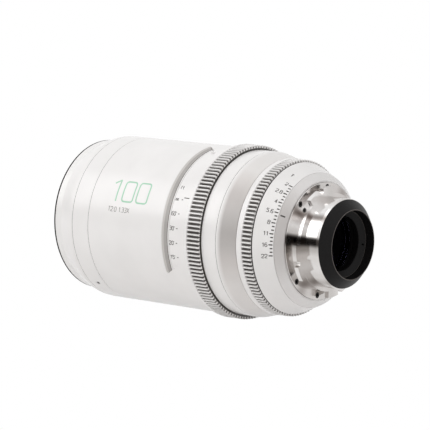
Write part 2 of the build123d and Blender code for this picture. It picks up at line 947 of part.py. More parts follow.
with BuildPart() as iris_cam_ring:
    turned(
        (cam_ring_bore_radius, cam_plate_rear),
        (cam_ring_rim_radius, cam_plate_rear),
        (cam_ring_rim_radius, cam_ring_rear),
        (cam_ring_radius, cam_ring_rear),
        (cam_ring_radius, cam_plate_front),
        (cam_ring_bore_radius, cam_plate_front),
    )
    for angle in blade_angles:
        with BuildSketch(Plane(origin=(0, cam_plate_front, 0), x_dir=around(angle), z_dir=(0, 1, 0))) as slot:
            with BuildLine():
                Spline(*cam_path)
            trace(line_width=2 * cam_slot_radius)
            with Locations(cam_path[0], cam_path[-1]):
                Circle(cam_slot_radius)
        extrude(slot.sketch, amount=-cam_slot_depth, mode=Mode.SUBTRACT)
    radial_pins(
        (opposite_angle,),
        drive_pin_station,
        drive_pin_radius + fit_gap,
        cam_ring_rim_radius - overrun,
        cam_ring_radius + overrun,
        mode=Mode.SUBTRACT,
    )
iris_cam_ring.part.label = "iris_cam_ring"

with BuildPart() as iris_drive_pin:
    radial_pins(
        (opposite_angle,),
        drive_pin_station,
        drive_pin_radius,
        drive_pin_inner_radius,
        drive_pin_outer_radius,
    )
iris_drive_pin.part.label = "iris_drive_pin"


# Iris ring: scale cone, gear teeth with cutter run-out, plain flange
iris_cone_slope = (iris_ring_cone_end_radius - index_ring_front_radius) / (
    iris_ring_cone_end_station - index_ring_front_station
)
iris_gear_rear = iris_ring_cone_end_station + iris_ring_groove_width

with BuildPart() as iris_ring:
    turned(
        (iris_ring_bore, iris_ring_rear),
        (index_ring_front_radius + joint_gap * iris_cone_slope, iris_ring_rear),
        (iris_ring_cone_end_radius, iris_ring_cone_end_station),
        (iris_ring_groove_radius, iris_ring_cone_end_station),
        (iris_ring_groove_radius, iris_gear_rear),
        (iris_ring_bore, iris_gear_rear),
    )
    toothed_zone(
        iris_gear_teeth,
        iris_gear_tip,
        iris_gear_rear,
        iris_gear_root_end + cutter_runout,
        iris_ring_bore,
    )
    runout_flange(iris_gear_tip, iris_gear_root_end, iris_ring_front_station, iris_ring_bore)
    bevel_teeth(iris_gear_tip, iris_gear_rear)
    turned(
        *box_outline(
            iris_ring_bore - overrun,
            iris_ring_bore + stop_groove_depth,
            iris_stop_station - stop_screw_radius - stop_groove_gap,
            iris_stop_station + stop_screw_radius + stop_groove_gap,
        ),
        start=scale_angle + iris_closing_sweep + end_margin,
        sweep=iris_sweep + 2 * end_margin,
        mode=Mode.SUBTRACT,
    )
    radial_pins(
        (opposite_angle,),
        drive_pin_station,
        drive_pin_radius + fit_gap,
        iris_ring_bore - overrun,
        drive_pin_outer_radius + fit_gap,
        mode=Mode.SUBTRACT,
    )
iris_ring.part.label = "iris_ring"


# Middle lens cell, screwed into the iris housing in front of the blades
middle_stack = base_plate_front + middle_cell_lip_thickness
middle_spacer_station = middle_stack + middle_rear_element_edge
middle_front_station = middle_spacer_station + middle_spacer_length
middle_ring_station = middle_front_station + middle_front_element_edge
middle_glass_radius = middle_cell_bore_radius - fit_gap
middle_cell_radius = base_bore_radius - fit_gap
middle_cell_front = base_plate_front + middle_cell_length

with BuildPart() as middle_cell:
    turned(
        (middle_cell_lip_radius, base_plate_front),
        (middle_cell_radius, base_plate_front),
        (middle_cell_radius, middle_cell_front - edge_break),
        (middle_cell_radius - edge_break, middle_cell_front),
        (middle_cell_bore_radius, middle_cell_front),
        (middle_cell_bore_radius, middle_stack),
        (middle_cell_lip_radius, middle_stack),
    )
middle_cell.part.label = "middle_cell"

with BuildPart() as middle_rear_element:
    lens(middle_glass_radius, middle_stack, middle_spacer_station, middle_rear_bulge_shares)
middle_rear_element.part.label = "middle_rear_element"

with BuildPart() as middle_spacer:
    spacer(middle_glass_radius, middle_spacer_station, middle_front_station)
middle_spacer.part.label = "middle_spacer"

with BuildPart() as middle_front_element:
    lens(middle_glass_radius, middle_front_station, middle_ring_station, middle_front_bulge_shares)
middle_front_element.part.label = "middle_front_element"

with BuildPart() as middle_retaining_ring:
    slotted_ring(middle_glass_radius, middle_ring_station, middle_ring_station + ring_length)
middle_retaining_ring.part.label = "middle_retaining_ring"


# Cone shroud between the iris ring and the middle barrel
shroud_inner_rear = shroud_rear_radius - shroud_wall
shroud_inner_front = mid_barrel_radius - shroud_wall

with BuildPart() as cone_shroud:
    turned(
        (iris_ring_bore, shroud_rear_station),
        (shroud_rear_radius - edge_break, shroud_rear_station),
        (shroud_rear_radius, shroud_rear_station + edge_break),
        (mid_barrel_radius - edge_break, shroud_cone_end_station),
        (mid_barrel_radius, shroud_cone_end_station + shroud_round),
        (mid_barrel_radius, housing_front_station - edge_break),
        (mid_barrel_radius - edge_break, housing_front_station),
        (shroud_inner_front, housing_front_station),
        (shroud_inner_front, shroud_cone_end_station),
        (shroud_inner_rear, housing_shoulder_station),
        (iris_ring_bore, housing_shoulder_station),
    )
cone_shroud.part.label = "cone_shroud"



# Middle barrel, with the bearing tube of the focus ring in front of it
mid_flange_front = housing_front_station + mid_barrel_flange

with BuildPart() as mid_barrel:
    turned(
        (mid_barrel_flange_bore, housing_front_station),
        (mid_barrel_radius - edge_break, housing_front_station),
        (mid_barrel_radius, housing_front_station + edge_break),
        (mid_barrel_radius, mid_barrel_front_station - edge_break),
        (mid_barrel_radius - edge_break, mid_barrel_front_station),
        (bearing_radius, mid_barrel_front_station),
        (bearing_radius, bearing_front_station),
        (bearing_bore_radius, bearing_front_station),
        (bearing_bore_radius, mid_flange_front),
        (mid_barrel_flange_bore, mid_flange_front),
    )
    radial_pins(
        (opposite_angle,),
        focus_stop_station,
        stop_screw_radius + fit_gap,
        bearing_bore_radius - overrun,
        bearing_radius + overrun,
        mode=Mode.SUBTRACT,
    )
    extrude(
        discs(
            housing_front_station,
            barrel_screw_circle,
            barrel_screw_shank_radius + fit_gap,
            barrel_screw_angles,
        ),
        amount=mid_barrel_flange,
        mode=Mode.SUBTRACT,
    )
mid_barrel.part.label = "mid_barrel"

focus_stop_tip = focus_ring_bore + stop_groove_depth - joint_gap

with BuildPart() as stop_screws:
    radial_pins(
        (scale_angle,),
        iris_stop_station,
        stop_screw_radius,
        stop_screw_outer_radius - stop_screw_length,
        stop_screw_outer_radius,
    )
    radial_pins(
        (opposite_angle,),
        focus_stop_station,
        stop_screw_radius,
        focus_stop_tip - stop_screw_length,
        focus_stop_tip,
    )
stop_screws.part.label = "stop_screws"


# Main tube: the straight guide slots of the focus group
main_tube_flange_front = mid_flange_front + main_tube_flange
follower_angles = spread(follower_count, follower_angle)
follower_slot_width = 2 * (follower_radius + fit_gap)

with BuildPart() as main_tube:
    turned(
        (main_tube_bore_radius, mid_flange_front),
        (main_tube_flange_radius, mid_flange_front),
        (main_tube_flange_radius, main_tube_flange_front),
        (main_tube_radius, main_tube_flange_front),
        (main_tube_radius, main_tube_front_station),
        (main_tube_bore_radius, main_tube_front_station),
    )
    for angle in follower_angles:
        with BuildSketch(facing(angle, main_tube_bore_radius - overrun, guide_middle)) as slot:
            SlotCenterToCenter(focus_travel + 2 * fit_gap, follower_slot_width)
        extrude(slot.sketch, amount=main_tube_wall + 2 * overrun, mode=Mode.SUBTRACT)
    screw_holes(
        barrel_screw_seat,
        barrel_screw_circle,
        barrel_screw_angles,
        barrel_screw_head_radius,
        barrel_screw_head_height,
        barrel_screw_shank_radius,
        barrel_screw_length,
        way=-1,
    )
main_tube.part.label = "main_tube"

with BuildPart() as barrel_screws:
    screws(
        barrel_screw_seat,
        barrel_screw_circle,
        barrel_screw_angles,
        barrel_screw_head_radius,
        barrel_screw_head_height,
        barrel_screw_shank_radius,
        barrel_screw_length,
        way=-1,
    )
barrel_screws.part.label = "barrel_screws"


# Front flange: screwed on the main tube, it carries the outer barrel and the front cell
front_flange_rear = main_tube_front_station - front_flange_thickness
cell_screw_seat = front_flange_rear + cell_screw_head_height
cell_screw_angles = spread(cell_screw_count, scale_angle)

with BuildPart() as front_flange:
    turned(
        *box_outline(
            main_tube_radius + fit_gap,
            barrel_bore_radius - fit_gap,
            front_flange_rear,
            main_tube_front_station,
        )
    )
    screw_holes(
        cell_screw_seat,
        cell_screw_circle,
        cell_screw_angles,
        cell_screw_head_radius,
        cell_screw_head_height,
        cell_screw_shank_radius,
        cell_screw_length,
    )
front_flange.part.label = "front_flange"

with BuildPart() as cell_screws:
    screws(
        cell_screw_seat,
        cell_screw_circle,
        cell_screw_angles,
        cell_screw_head_radius,
        cell_screw_head_height,
        cell_screw_shank_radius,
        cell_screw_length,
    )
cell_screws.part.label = "cell_screws"


# Focus ring: gear teeth with cutter run-out, plain flange and the skirt under the outer barrel
with BuildPart() as focus_ring:
    toothed_zone(
        focus_gear_teeth,
        focus_gear_tip,
        focus_gear_rear_station,
        focus_gear_root_end + cutter_runout,
        focus_ring_bore,
    )
    runout_flange(focus_gear_tip, focus_gear_root_end, focus_gear_front_station, focus_ring_bore)
    bevel_teeth(focus_gear_tip, focus_gear_rear_station)
    turned(
        (focus_ring_bore, focus_gear_root_end),
        (skirt_radius, focus_gear_root_end),
        (skirt_radius, skirt_front_station),
        (skirt_lip_radius, skirt_front_station),
        (skirt_lip_radius, drive_ring_front),
        (focus_ring_bore, drive_ring_front),
    )
    turned(
        *box_outline(
            focus_ring_bore - overrun,
            focus_ring_bore + stop_groove_depth,
            focus_stop_station - stop_screw_radius - stop_groove_gap,
            focus_stop_station + stop_screw_radius + stop_groove_gap,
        ),
        start=opposite_angle + focus_sweep + end_margin,
        sweep=focus_sweep + 2 * end_margin,
        mode=Mode.SUBTRACT,
    )
focus_ring.part.label = "focus_ring"

with BuildPart() as focus_drum:
    turned(
        (skirt_radius + fit_gap, focus_gear_front_station),
        (drum_radius, focus_gear_front_station),
        (drum_radius, drum_front_station - edge_break),
        (drum_radius - edge_break, drum_front_station),
        (skirt_radius + fit_gap, drum_front_station),
    )
focus_drum.part.label = "focus_drum"

sleeve_screw_seat = drive_ring_front + sleeve_flange_thickness - sleeve_screw_head_height
sleeve_screw_angles = spread(sleeve_screw_count, scale_angle)

with BuildPart() as focus_drive_ring:
    turned(
        *box_outline(
            main_tube_radius + joint_gap,
            focus_ring_bore - fit_gap,
            drive_ring_rear,
            drive_ring_front,
        )
    )
    extrude(
        discs(
            drive_ring_front,
            sleeve_screw_circle,
            sleeve_screw_shank_radius + fit_gap,
            sleeve_screw_angles,
        ),
        amount=-sleeve_screw_length,
        mode=Mode.SUBTRACT,
    )
focus_drive_ring.part.label = "focus_drive_ring"

cam_lead = degrees(asin(cam_pitch / sqrt(cam_pitch**2 + (2 * pi * sleeve_radius) ** 2)))
cam_section = follower_slot_width / cos(radians(cam_lead))
sleeve_middle = (sleeve_bore + sleeve_radius) / 2

with BuildPart() as focus_cam_sleeve:
    turned(
        (sleeve_bore, drive_ring_front),
        (sleeve_flange_radius, drive_ring_front),
        (sleeve_flange_radius, drive_ring_front + sleeve_flange_thickness),
        (sleeve_radius, drive_ring_front + sleeve_flange_thickness),
        (sleeve_radius, sleeve_front_station),
        (sleeve_bore, sleeve_front_station),
    )
    for angle in follower_angles:
        start = Plane(origin=(0, follower_station, 0), x_dir=around(angle), z_dir=(0, 1, 0))
        with BuildLine() as spiral:
            Helix(cam_pitch, focus_travel, sleeve_middle, lefthand=True)
        with BuildSketch(meridian(angle)) as section:
            with Locations((sleeve_middle, follower_station)):
                Rectangle(sleeve_wall + overrun, cam_section)
        sweep(
            section.sketch,
            path=start.from_local_coords(spiral.line),
            is_frenet=True,
            mode=Mode.SUBTRACT,
        )
        radial_pins(
            (angle,),
            follower_station,
            follower_slot_width / 2,
            sleeve_bore - overrun,
            sleeve_radius + overrun,
            mode=Mode.SUBTRACT,
        )
        radial_pins(
            (angle + focus_sweep,),
            follower_station + focus_travel,
            follower_slot_width / 2,
            sleeve_bore - overrun,
            sleeve_radius + overrun,
            mode=Mode.SUBTRACT,
        )
    screw_holes(
        sleeve_screw_seat,
        sleeve_screw_circle,
        sleeve_screw_angles,
        sleeve_screw_head_radius,
        sleeve_screw_head_height,
        sleeve_screw_shank_radius,
        sleeve_screw_length,
        way=-1,
    )
focus_cam_sleeve.part.label = "focus_cam_sleeve"

with BuildPart() as sleeve_screws:
    screws(
        sleeve_screw_seat,
        sleeve_screw_circle,
        sleeve_screw_angles,
        sleeve_screw_head_radius,
        sleeve_screw_head_height,
        sleeve_screw_shank_radius,
        sleeve_screw_length,
        way=-1,
    )
sleeve_screws.part.label = "sleeve_screws"


# Focus group: the sliding carrier with its elements and the three follower pins
carrier_stack = carrier_rear_station + carrier_lip_thickness
focus_spacer_station = carrier_stack + focus_rear_element_edge
focus_front_station = focus_spacer_station + focus_spacer_length
focus_ring_station = focus_front_station + focus_front_element_edge
focus_glass_radius = carrier_bore_radius - fit_gap
carrier_radius = main_tube_bore_radius - fit_gap
carrier_front = carrier_rear_station + carrier_length

with BuildPart() as focus_carrier:
    turned(
        (carrier_lip_radius, carrier_rear_station),
        (carrier_radius - edge_break, carrier_rear_station),
        (carrier_radius, carrier_rear_station + edge_break),
        (carrier_radius, carrier_front - edge_break),
        (carrier_radius - edge_break, carrier_front),
        (carrier_bore_radius, carrier_front),
        (carrier_bore_radius, carrier_stack),
        (carrier_lip_radius, carrier_stack),
    )
    radial_pins(
        follower_angles,
        follower_station,
        follower_radius + fit_gap,
        follower_inner_radius,
        carrier_radius + overrun,
        mode=Mode.SUBTRACT,
    )
focus_carrier.part.label = "focus_carrier"

with BuildPart() as follower_pins:
    radial_pins(
        follower_angles,
        follower_station,
        follower_radius,
        follower_inner_radius,
        follower_outer_radius,
    )
follower_pins.part.label = "follower_pins"

with BuildPart() as focus_rear_element:
    lens(focus_glass_radius, carrier_stack, focus_spacer_station, focus_rear_bulge_shares)
focus_rear_element.part.label = "focus_rear_element"

with BuildPart() as focus_spacer:
    spacer(focus_glass_radius, focus_spacer_station, focus_front_station)
focus_spacer.part.label = "focus_spacer"

with BuildPart() as focus_front_element:
    lens(focus_glass_radius, focus_front_station, focus_ring_station, focus_front_bulge_shares)
focus_front_element.part.label = "focus_front_element"

with BuildPart() as focus_retaining_ring:
    slotted_ring(focus_glass_radius, focus_ring_station, focus_ring_station + ring_length)
focus_retaining_ring.part.label = "focus_retaining_ring"


# The space the focus window takes out of the outer barrel: a band with slanted ends and a bevel
def slanted_end(front_angle, rear_angle, side):
    """A wedge in the plane that touches the barrel half way along one slanted end."""
    middle = (front_angle + rear_angle) / 2
    half_rise = barrel_radius * sin(radians(abs(rear_angle - front_angle) / 2))
    half_length = (window_front_station - window_rear_station) / 2
    station = (window_front_station + window_rear_station) / 2
    with BuildSketch(facing(middle, window_bevel_floor - 2 * overrun, station)) as wedge:
        with BuildLine():
            Polyline(
                (-half_length, -side * half_rise),
                (half_length, -side * half_rise),
                (half_length, side * half_rise),
                close=True,
            )
        make_face()
        fillet(wedge.vertices().sort_by(Axis.Y)[-1], window_corner)
    extrude(wedge.sketch, amount=barrel_radius - window_bevel_floor + 4 * overrun)


with BuildPart() as window_outline:
    turned(
        *box_outline(
            window_bevel_floor - 2 * overrun,
            barrel_radius + overrun,
            window_rear_station,
            window_front_station,
        ),
        start=window_rear_end,
        sweep=window_rear_end - window_rear_start,
    )
    slanted_end(window_front_start, window_rear_start, -1)
    slanted_end(window_front_end, window_rear_end, 1)

with BuildPart() as window_space:
    turned(
        (window_bevel_floor - 2 * overrun, window_rear_station),
        (barrel_radius + overrun, window_rear_station),
        (barrel_radius + overrun, window_front_station),
        (barrel_radius, window_front_station),
        (window_bevel_floor, window_step_station),
        (window_bevel_floor - 2 * overrun, window_step_station),
    )
    add(window_outline.part, mode=Mode.INTERSECT)

with BuildPart() as outer_barrel:
    turned(
        (barrel_skin_bore_radius, focus_gear_front_station + joint_gap),
        (barrel_radius - edge_break, focus_gear_front_station + joint_gap),
        (barrel_radius, focus_gear_front_station + joint_gap + edge_break),
        (barrel_radius, barrel_front_station - edge_break),
        (barrel_radius - edge_break, barrel_front_station),
        (barrel_front_bore_radius, barrel_front_station),
        (barrel_front_bore_radius, main_tube_front_station),
        (barrel_bore_radius, main_tube_front_station),
        (barrel_bore_radius, window_step_station),
        (barrel_skin_bore_radius, window_step_station),
    )
    add(window_space.part, mode=Mode.SUBTRACT)
outer_barrel.part.label = "outer_barrel"


# Second ring with its set screws
second_ring_spigot_rear = barrel_front_station - second_ring_spigot_length
front_spigot_radius = barrel_front_bore_radius - fit_gap
set_screw_angles = spread(set_screw_count, set_screw_angle)
set_screw_top = barrel_radius - set_screw_sink

with BuildPart() as second_ring:
    turned(
        (second_ring_spigot_bore, second_ring_spigot_rear),
        (front_spigot_radius, second_ring_spigot_rear),
        (front_spigot_radius, barrel_front_station),
        (barrel_radius - edge_break, barrel_front_station),
        (barrel_radius, barrel_front_station + edge_break),
        (barrel_radius, second_ring_front_station - edge_break),
        (barrel_radius - edge_break, second_ring_front_station),
        (barrel_front_bore_radius, second_ring_front_station),
        (barrel_front_bore_radius, barrel_front_station + second_ring_web),
        (second_ring_spigot_bore, barrel_front_station + second_ring_web),
    )
    radial_pins(
        set_screw_angles,
        set_screw_station,
        set_screw_radius + fit_gap,
        barrel_front_bore_radius - overrun,
        barrel_radius + overrun,
        mode=Mode.SUBTRACT,
    )
second_ring.part.label = "second_ring"

with BuildPart() as set_screws:
    radial_pins(
        set_screw_angles,
        set_screw_station,
        set_screw_radius,
        barrel_front_bore_radius,
        set_screw_top,
    )
    for angle in set_screw_angles:
        with BuildSketch(facing(angle, set_screw_top, set_screw_station)) as socket:
            RegularPolygon(set_screw_radius * socket_width_share, 6)
        extrude(socket.sketch, amount=-set_screw_radius, mode=Mode.SUBTRACT)
set_screws.part.label = "set_screws"


# Front ring, rounded in to the standard front rim, and the black trim ring with the filter thread
trim_seat_station = front_ring_front_station - trim_seat_depth

with BuildPart() as front_ring:
    with BuildSketch(meridian(0)) as half:
        with BuildLine():
            Spline(
                (front_ring_shoulder_radius, front_ring_shoulder_station),
                (front_ring_upper_radius, front_ring_upper_station),
                (front_ring_middle_radius, front_ring_middle_station),
                (front_ring_lower_radius, front_ring_lower_station),
                (front_rim_radius, front_rim_station),
            )
            Polyline(
                (front_rim_radius, front_rim_station),
                (front_rim_radius, front_ring_front_station),
                (trim_seat_radius + fit_gap, front_ring_front_station),
                (trim_seat_radius + fit_gap, trim_seat_station),
                (front_ring_bore_radius, trim_seat_station),
                (front_ring_bore_radius, second_ring_front_station - front_ring_spigot_length),
                (front_spigot_radius, second_ring_front_station - front_ring_spigot_length),
                (front_spigot_radius, second_ring_front_station),
                (barrel_radius - edge_break, second_ring_front_station),
                (front_ring_shoulder_radius, front_ring_shoulder_station),
            )
        make_face()
    revolve(axis=Axis.Y)
front_ring.part.label = "front_ring"

with BuildPart() as trim_ring:
    turned(
        (filter_thread_radius, trim_seat_station),
        (trim_seat_radius, trim_seat_station),
        (trim_seat_radius, front_ring_front_station),
        (trim_ring_radius, front_ring_front_station),
        (trim_ring_radius, trim_ring_front_station - edge_break),
        (trim_ring_radius - edge_break, trim_ring_front_station),
        (filter_thread_radius + edge_break, trim_ring_front_station),
        (filter_thread_radius, trim_ring_front_station - edge_break),
    )
trim_ring.part.label = "trim_ring"


# Front cell: two cylinder elements that squeeze the picture sideways, and the front element
cell_stack = main_tube_front_station + front_cell_lip_thickness
cylinder_ring_station = cell_stack + cylinder_rear_edge
front_spacer_station = front_cell_step_station + cylinder_front_edge
front_element_station = front_spacer_station + front_spacer_length
front_ring_station = front_element_station + front_element_edge
front_glass_radius = front_cell_front_bore - fit_gap
cylinder_rear_radius = front_cell_rear_bore - fit_gap

with BuildPart() as front_cell:
    turned(
        (front_cell_lip_radius, main_tube_front_station),
        (front_cell_radius, main_tube_front_station),
        (front_cell_radius, front_cell_front_station - edge_break),
        (front_cell_radius - edge_break, front_cell_front_station),
        (front_cell_front_bore, front_cell_front_station),
        (front_cell_front_bore, front_cell_step_station),
        (front_cell_rear_bore, front_cell_step_station),
        (front_cell_rear_bore, cell_stack),
        (front_cell_lip_radius, cell_stack),
    )
    extrude(
        discs(
            main_tube_front_station,
            cell_screw_circle,
            cell_screw_shank_radius + fit_gap,
            cell_screw_angles,
        ),
        amount=cell_screw_length,
        mode=Mode.SUBTRACT,
    )
front_cell.part.label = "front_cell"

with BuildPart() as cylinder_rear_element:
    cylinder_lens(cylinder_rear_radius, cell_stack, cylinder_ring_station, True)
cylinder_rear_element.part.label = "cylinder_rear_element"

with BuildPart() as cylinder_retaining_ring:
    slotted_ring(cylinder_rear_radius, cylinder_ring_station, cylinder_ring_station + ring_length)
cylinder_retaining_ring.part.label = "cylinder_retaining_ring"

with BuildPart() as cylinder_front_element:
    cylinder_lens(front_glass_radius, front_cell_step_station, front_spacer_station, False)
cylinder_front_element.part.label = "cylinder_front_element"

with BuildPart() as front_spacer:
    spacer(front_glass_radius, front_spacer_station, front_element_station)
front_spacer.part.label = "front_spacer"

with BuildPart() as front_element:
    lens(front_glass_radius, front_element_station, front_ring_station, front_element_bulge_shares)
front_element.part.label = "front_element"

with BuildPart() as front_retaining_ring:
    slotted_ring(front_glass_radius, front_ring_station, front_ring_station + ring_length)
front_retaining_ring.part.label = "front_retaining_ring"


for piece in (
    mount_flange,
    mount_screws,
    mount_shim,
    rear_hood,
    baffle_ring,
    rear_cell,
    rear_element,
    rear_spacer,
    rear_inner_element,
    rear_retaining_ring,
    index_ring,
    housing_screws,
    iris_housing,
    iris_base_plate,
    iris_cam_ring,
    iris_drive_pin,
    iris_ring,
    middle_cell,
    middle_rear_element,
    middle_spacer,
    middle_front_element,
    middle_retaining_ring,
    cone_shroud,
    mid_barrel,
    stop_screws,
    main_tube,
    barrel_screws,
    front_flange,
    cell_screws,
    focus_ring,
    focus_drum,
    focus_drive_ring,
    focus_cam_sleeve,
    sleeve_screws,
    focus_carrier,
    follower_pins,
    focus_rear_element,
    focus_spacer,
    focus_front_element,
    focus_retaining_ring,
    outer_barrel,
    second_ring,
    set_screws,
    front_ring,
    trim_ring,
    front_cell,
    cylinder_rear_element,
    cylinder_retaining_ring,
    cylinder_front_element,
    front_spacer,
    front_element,
    front_retaining_ring,
):
    export_step(piece.part, f"parts/{piece.part.label}.step")
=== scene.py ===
"""A white cinema prime lens on a white ground: finishes, scales, light and camera."""

import json
import math

import bmesh
import bpy
import numpy as np
from mathutils import Matrix, Vector


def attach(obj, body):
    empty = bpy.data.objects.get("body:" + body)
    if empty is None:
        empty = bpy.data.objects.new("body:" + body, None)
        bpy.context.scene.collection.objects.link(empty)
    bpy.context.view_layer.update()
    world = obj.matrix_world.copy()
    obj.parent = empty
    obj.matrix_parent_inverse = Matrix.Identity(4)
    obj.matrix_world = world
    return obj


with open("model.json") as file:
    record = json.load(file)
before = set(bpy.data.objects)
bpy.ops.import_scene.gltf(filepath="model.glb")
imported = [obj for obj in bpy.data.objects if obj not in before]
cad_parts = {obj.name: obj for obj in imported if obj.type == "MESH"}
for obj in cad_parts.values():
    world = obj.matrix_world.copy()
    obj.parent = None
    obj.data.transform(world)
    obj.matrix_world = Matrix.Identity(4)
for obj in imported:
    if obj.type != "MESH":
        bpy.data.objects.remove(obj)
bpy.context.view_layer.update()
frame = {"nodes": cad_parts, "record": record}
nodes = frame["nodes"]

MM = 0.001  # the scene is in metres, the sizes below in millimetres
SCALE_ANGLE = 61.5  # degrees from the top to the line on which the scales are read
INK_LIFT, INK_SINK = 0.02, 0.05  # a printed stroke stands this far out and reaches this far in

# Places on the lens as its solids have them: stations along the axis and radii from it
BARREL_RADIUS, DRUM_RADIUS = 51.25, 50.0
MIDDLE_RADIUS = 50.4
FOCUS_GEAR_REAR, FOCUS_GEAR_FRONT, FOCUS_GEAR_TOP, FOCUS_FLANGE_TOP = 58.34, 67.4, 52.95, 51.6
IRIS_GEAR_REAR, IRIS_GEAR_FRONT, IRIS_GEAR_TOP, IRIS_FLANGE_TOP = 23.9, 30.2, 46.95, 45.7
SHROUD_REAR, SHROUD_FRONT, SHROUD_RIM_RADIUS = 30.0, 47.2, 50.35
BEVEL_FOOT, BEVEL_MIDDLE, BEVEL_TOP = 85.2, 87.3, 89.4
BEVEL_FOOT_RADIUS, BEVEL_TOP_RADIUS = 51.0, 51.22
HOOD_RIM_RADIUS, BAFFLE_RIM_RADIUS = 20.74, 19.72
INDEX_REAR, CONE_REAR, CONE_FRONT = (7.15, 36.0), (10.98, 40.3), (22.9, 45.7)

# Tones that several finishes share
# painted shade on the floors between gear teeth
TOOTH_GAP_SHADE = ("#66625f", "#75706d")
JOINT_TONES = ("#4a4644", "#55514e")
# painted shade on the bevel of the focus window
BEVEL_SHADE_TONES = ("#c9c5c2", "#d0ccc9")
LOW_BEVEL_SHADE_TONES = ("#aba7a4", "#b4b0ad")
# painted shade on the cone shroud
SHROUD_SHADE_TONES = ("#e8e5e3", "#edeae8")
ANODISED_TONES = ("#121111", "#181717")


# Colour and node helpers


def colour(code):
    """A screen hex colour as linear light: c/12.92 below 0.04045, else ((c+0.055)/1.055)^2.4."""
    parts = [int(code[i : i + 2], 16) / 255 for i in (1, 3, 5)]
    return [c / 12.92 if c <= 0.04045 else ((c + 0.055) / 1.055) ** 2.4 for c in parts] + [1.0]


def add(tree, kind, inputs=None, feeds=None, stops=(), **settings):
    """A node of a kind with its settings.

    Inputs are constants or (node, output) pairs, feeds is the (node, input) that its first output
    goes to, and stops are the (position, hex) pairs of a colour band.
    """
    made = tree.nodes.new(kind)
    for key, value in settings.items():
        setattr(made, key, value)
    for key, value in (inputs or {}).items():
        if isinstance(value, tuple) and isinstance(value[0], bpy.types.Node):
            tree.links.new(value[0].outputs[value[1]], made.inputs[key])
        else:
            made.inputs[key].default_value = value
    if stops:
        band = made.color_ramp
        while len(band.elements) < len(stops):
            band.elements.new(0.5)
        for element, (place, code) in zip(band.elements, stops):
            element.position = place
            element.color = colour(code)
    if feeds:
        tree.links.new(made.outputs[0], feeds[0].inputs[feeds[1]])
    return made


def material(name, **plain):
    """A new material, its tree, its shader with plain socket values, and its coordinates node."""
    made = bpy.data.materials.new(name)
    made.use_nodes = True
    tree = made.node_tree
    tree.nodes.clear()
    out = add(tree, "ShaderNodeOutputMaterial")
    shader = add(tree, "ShaderNodeBsdfPrincipled", feeds=(out, "Surface"))
    for key, value in plain.items():
        shader.inputs[key.replace("_", " ")].default_value = value
    place = add(tree, "ShaderNodeTexCoord")
    return made, tree, shader, place


def grain(tree, place, size_mm, detail=3.0, stretch=(1, 1, 1)):
    """A cloudy pattern whose blobs are about size_mm across, squeezed along the axes by stretch."""
    scaled = add(tree, "ShaderNodeMapping", {"Vector": (place, "Object"), "Scale": stretch})
    inputs = {"Vector": (scaled, 0), "Scale": 1 / (size_mm * MM), "Detail": detail}
    return add(tree, "ShaderNodeTexNoise", inputs)


def across_axis(tree, place):
    """The distance from the optical axis, sqrt(x^2 + z^2), and the station y, in metres."""
    parts = add(tree, "ShaderNodeSeparateXYZ", {0: (place, "Object")})
    flat = add(tree, "ShaderNodeCombineXYZ", {"X": (parts, "X"), "Z": (parts, "Z")})
    length = add(tree, "ShaderNodeVectorMath", {0: (flat, 0)}, operation="LENGTH")
    return (length, "Value"), (parts, "Y")


def round_axis(tree, place):
    """The angle a = atan2(-x, z) round the axis as (a / pi) mod 1: from 0 to 1 twice a turn."""
    parts = add(tree, "ShaderNodeSeparateXYZ", {0: (place, "Object")})
    left = add(tree, "ShaderNodeMath", {0: (parts, "X"), 1: -1.0}, operation="MULTIPLY")
    angle = add(tree, "ShaderNodeMath", {0: (left, 0), 1: (parts, "Z")}, operation="ARCTAN2")
    turns = add(tree, "ShaderNodeMath", {0: (angle, 0), 1: math.pi}, operation="DIVIDE")
    return add(tree, "ShaderNodeMath", {0: (turns, 0), 1: 1.0}, operation="FLOORED_MODULO")


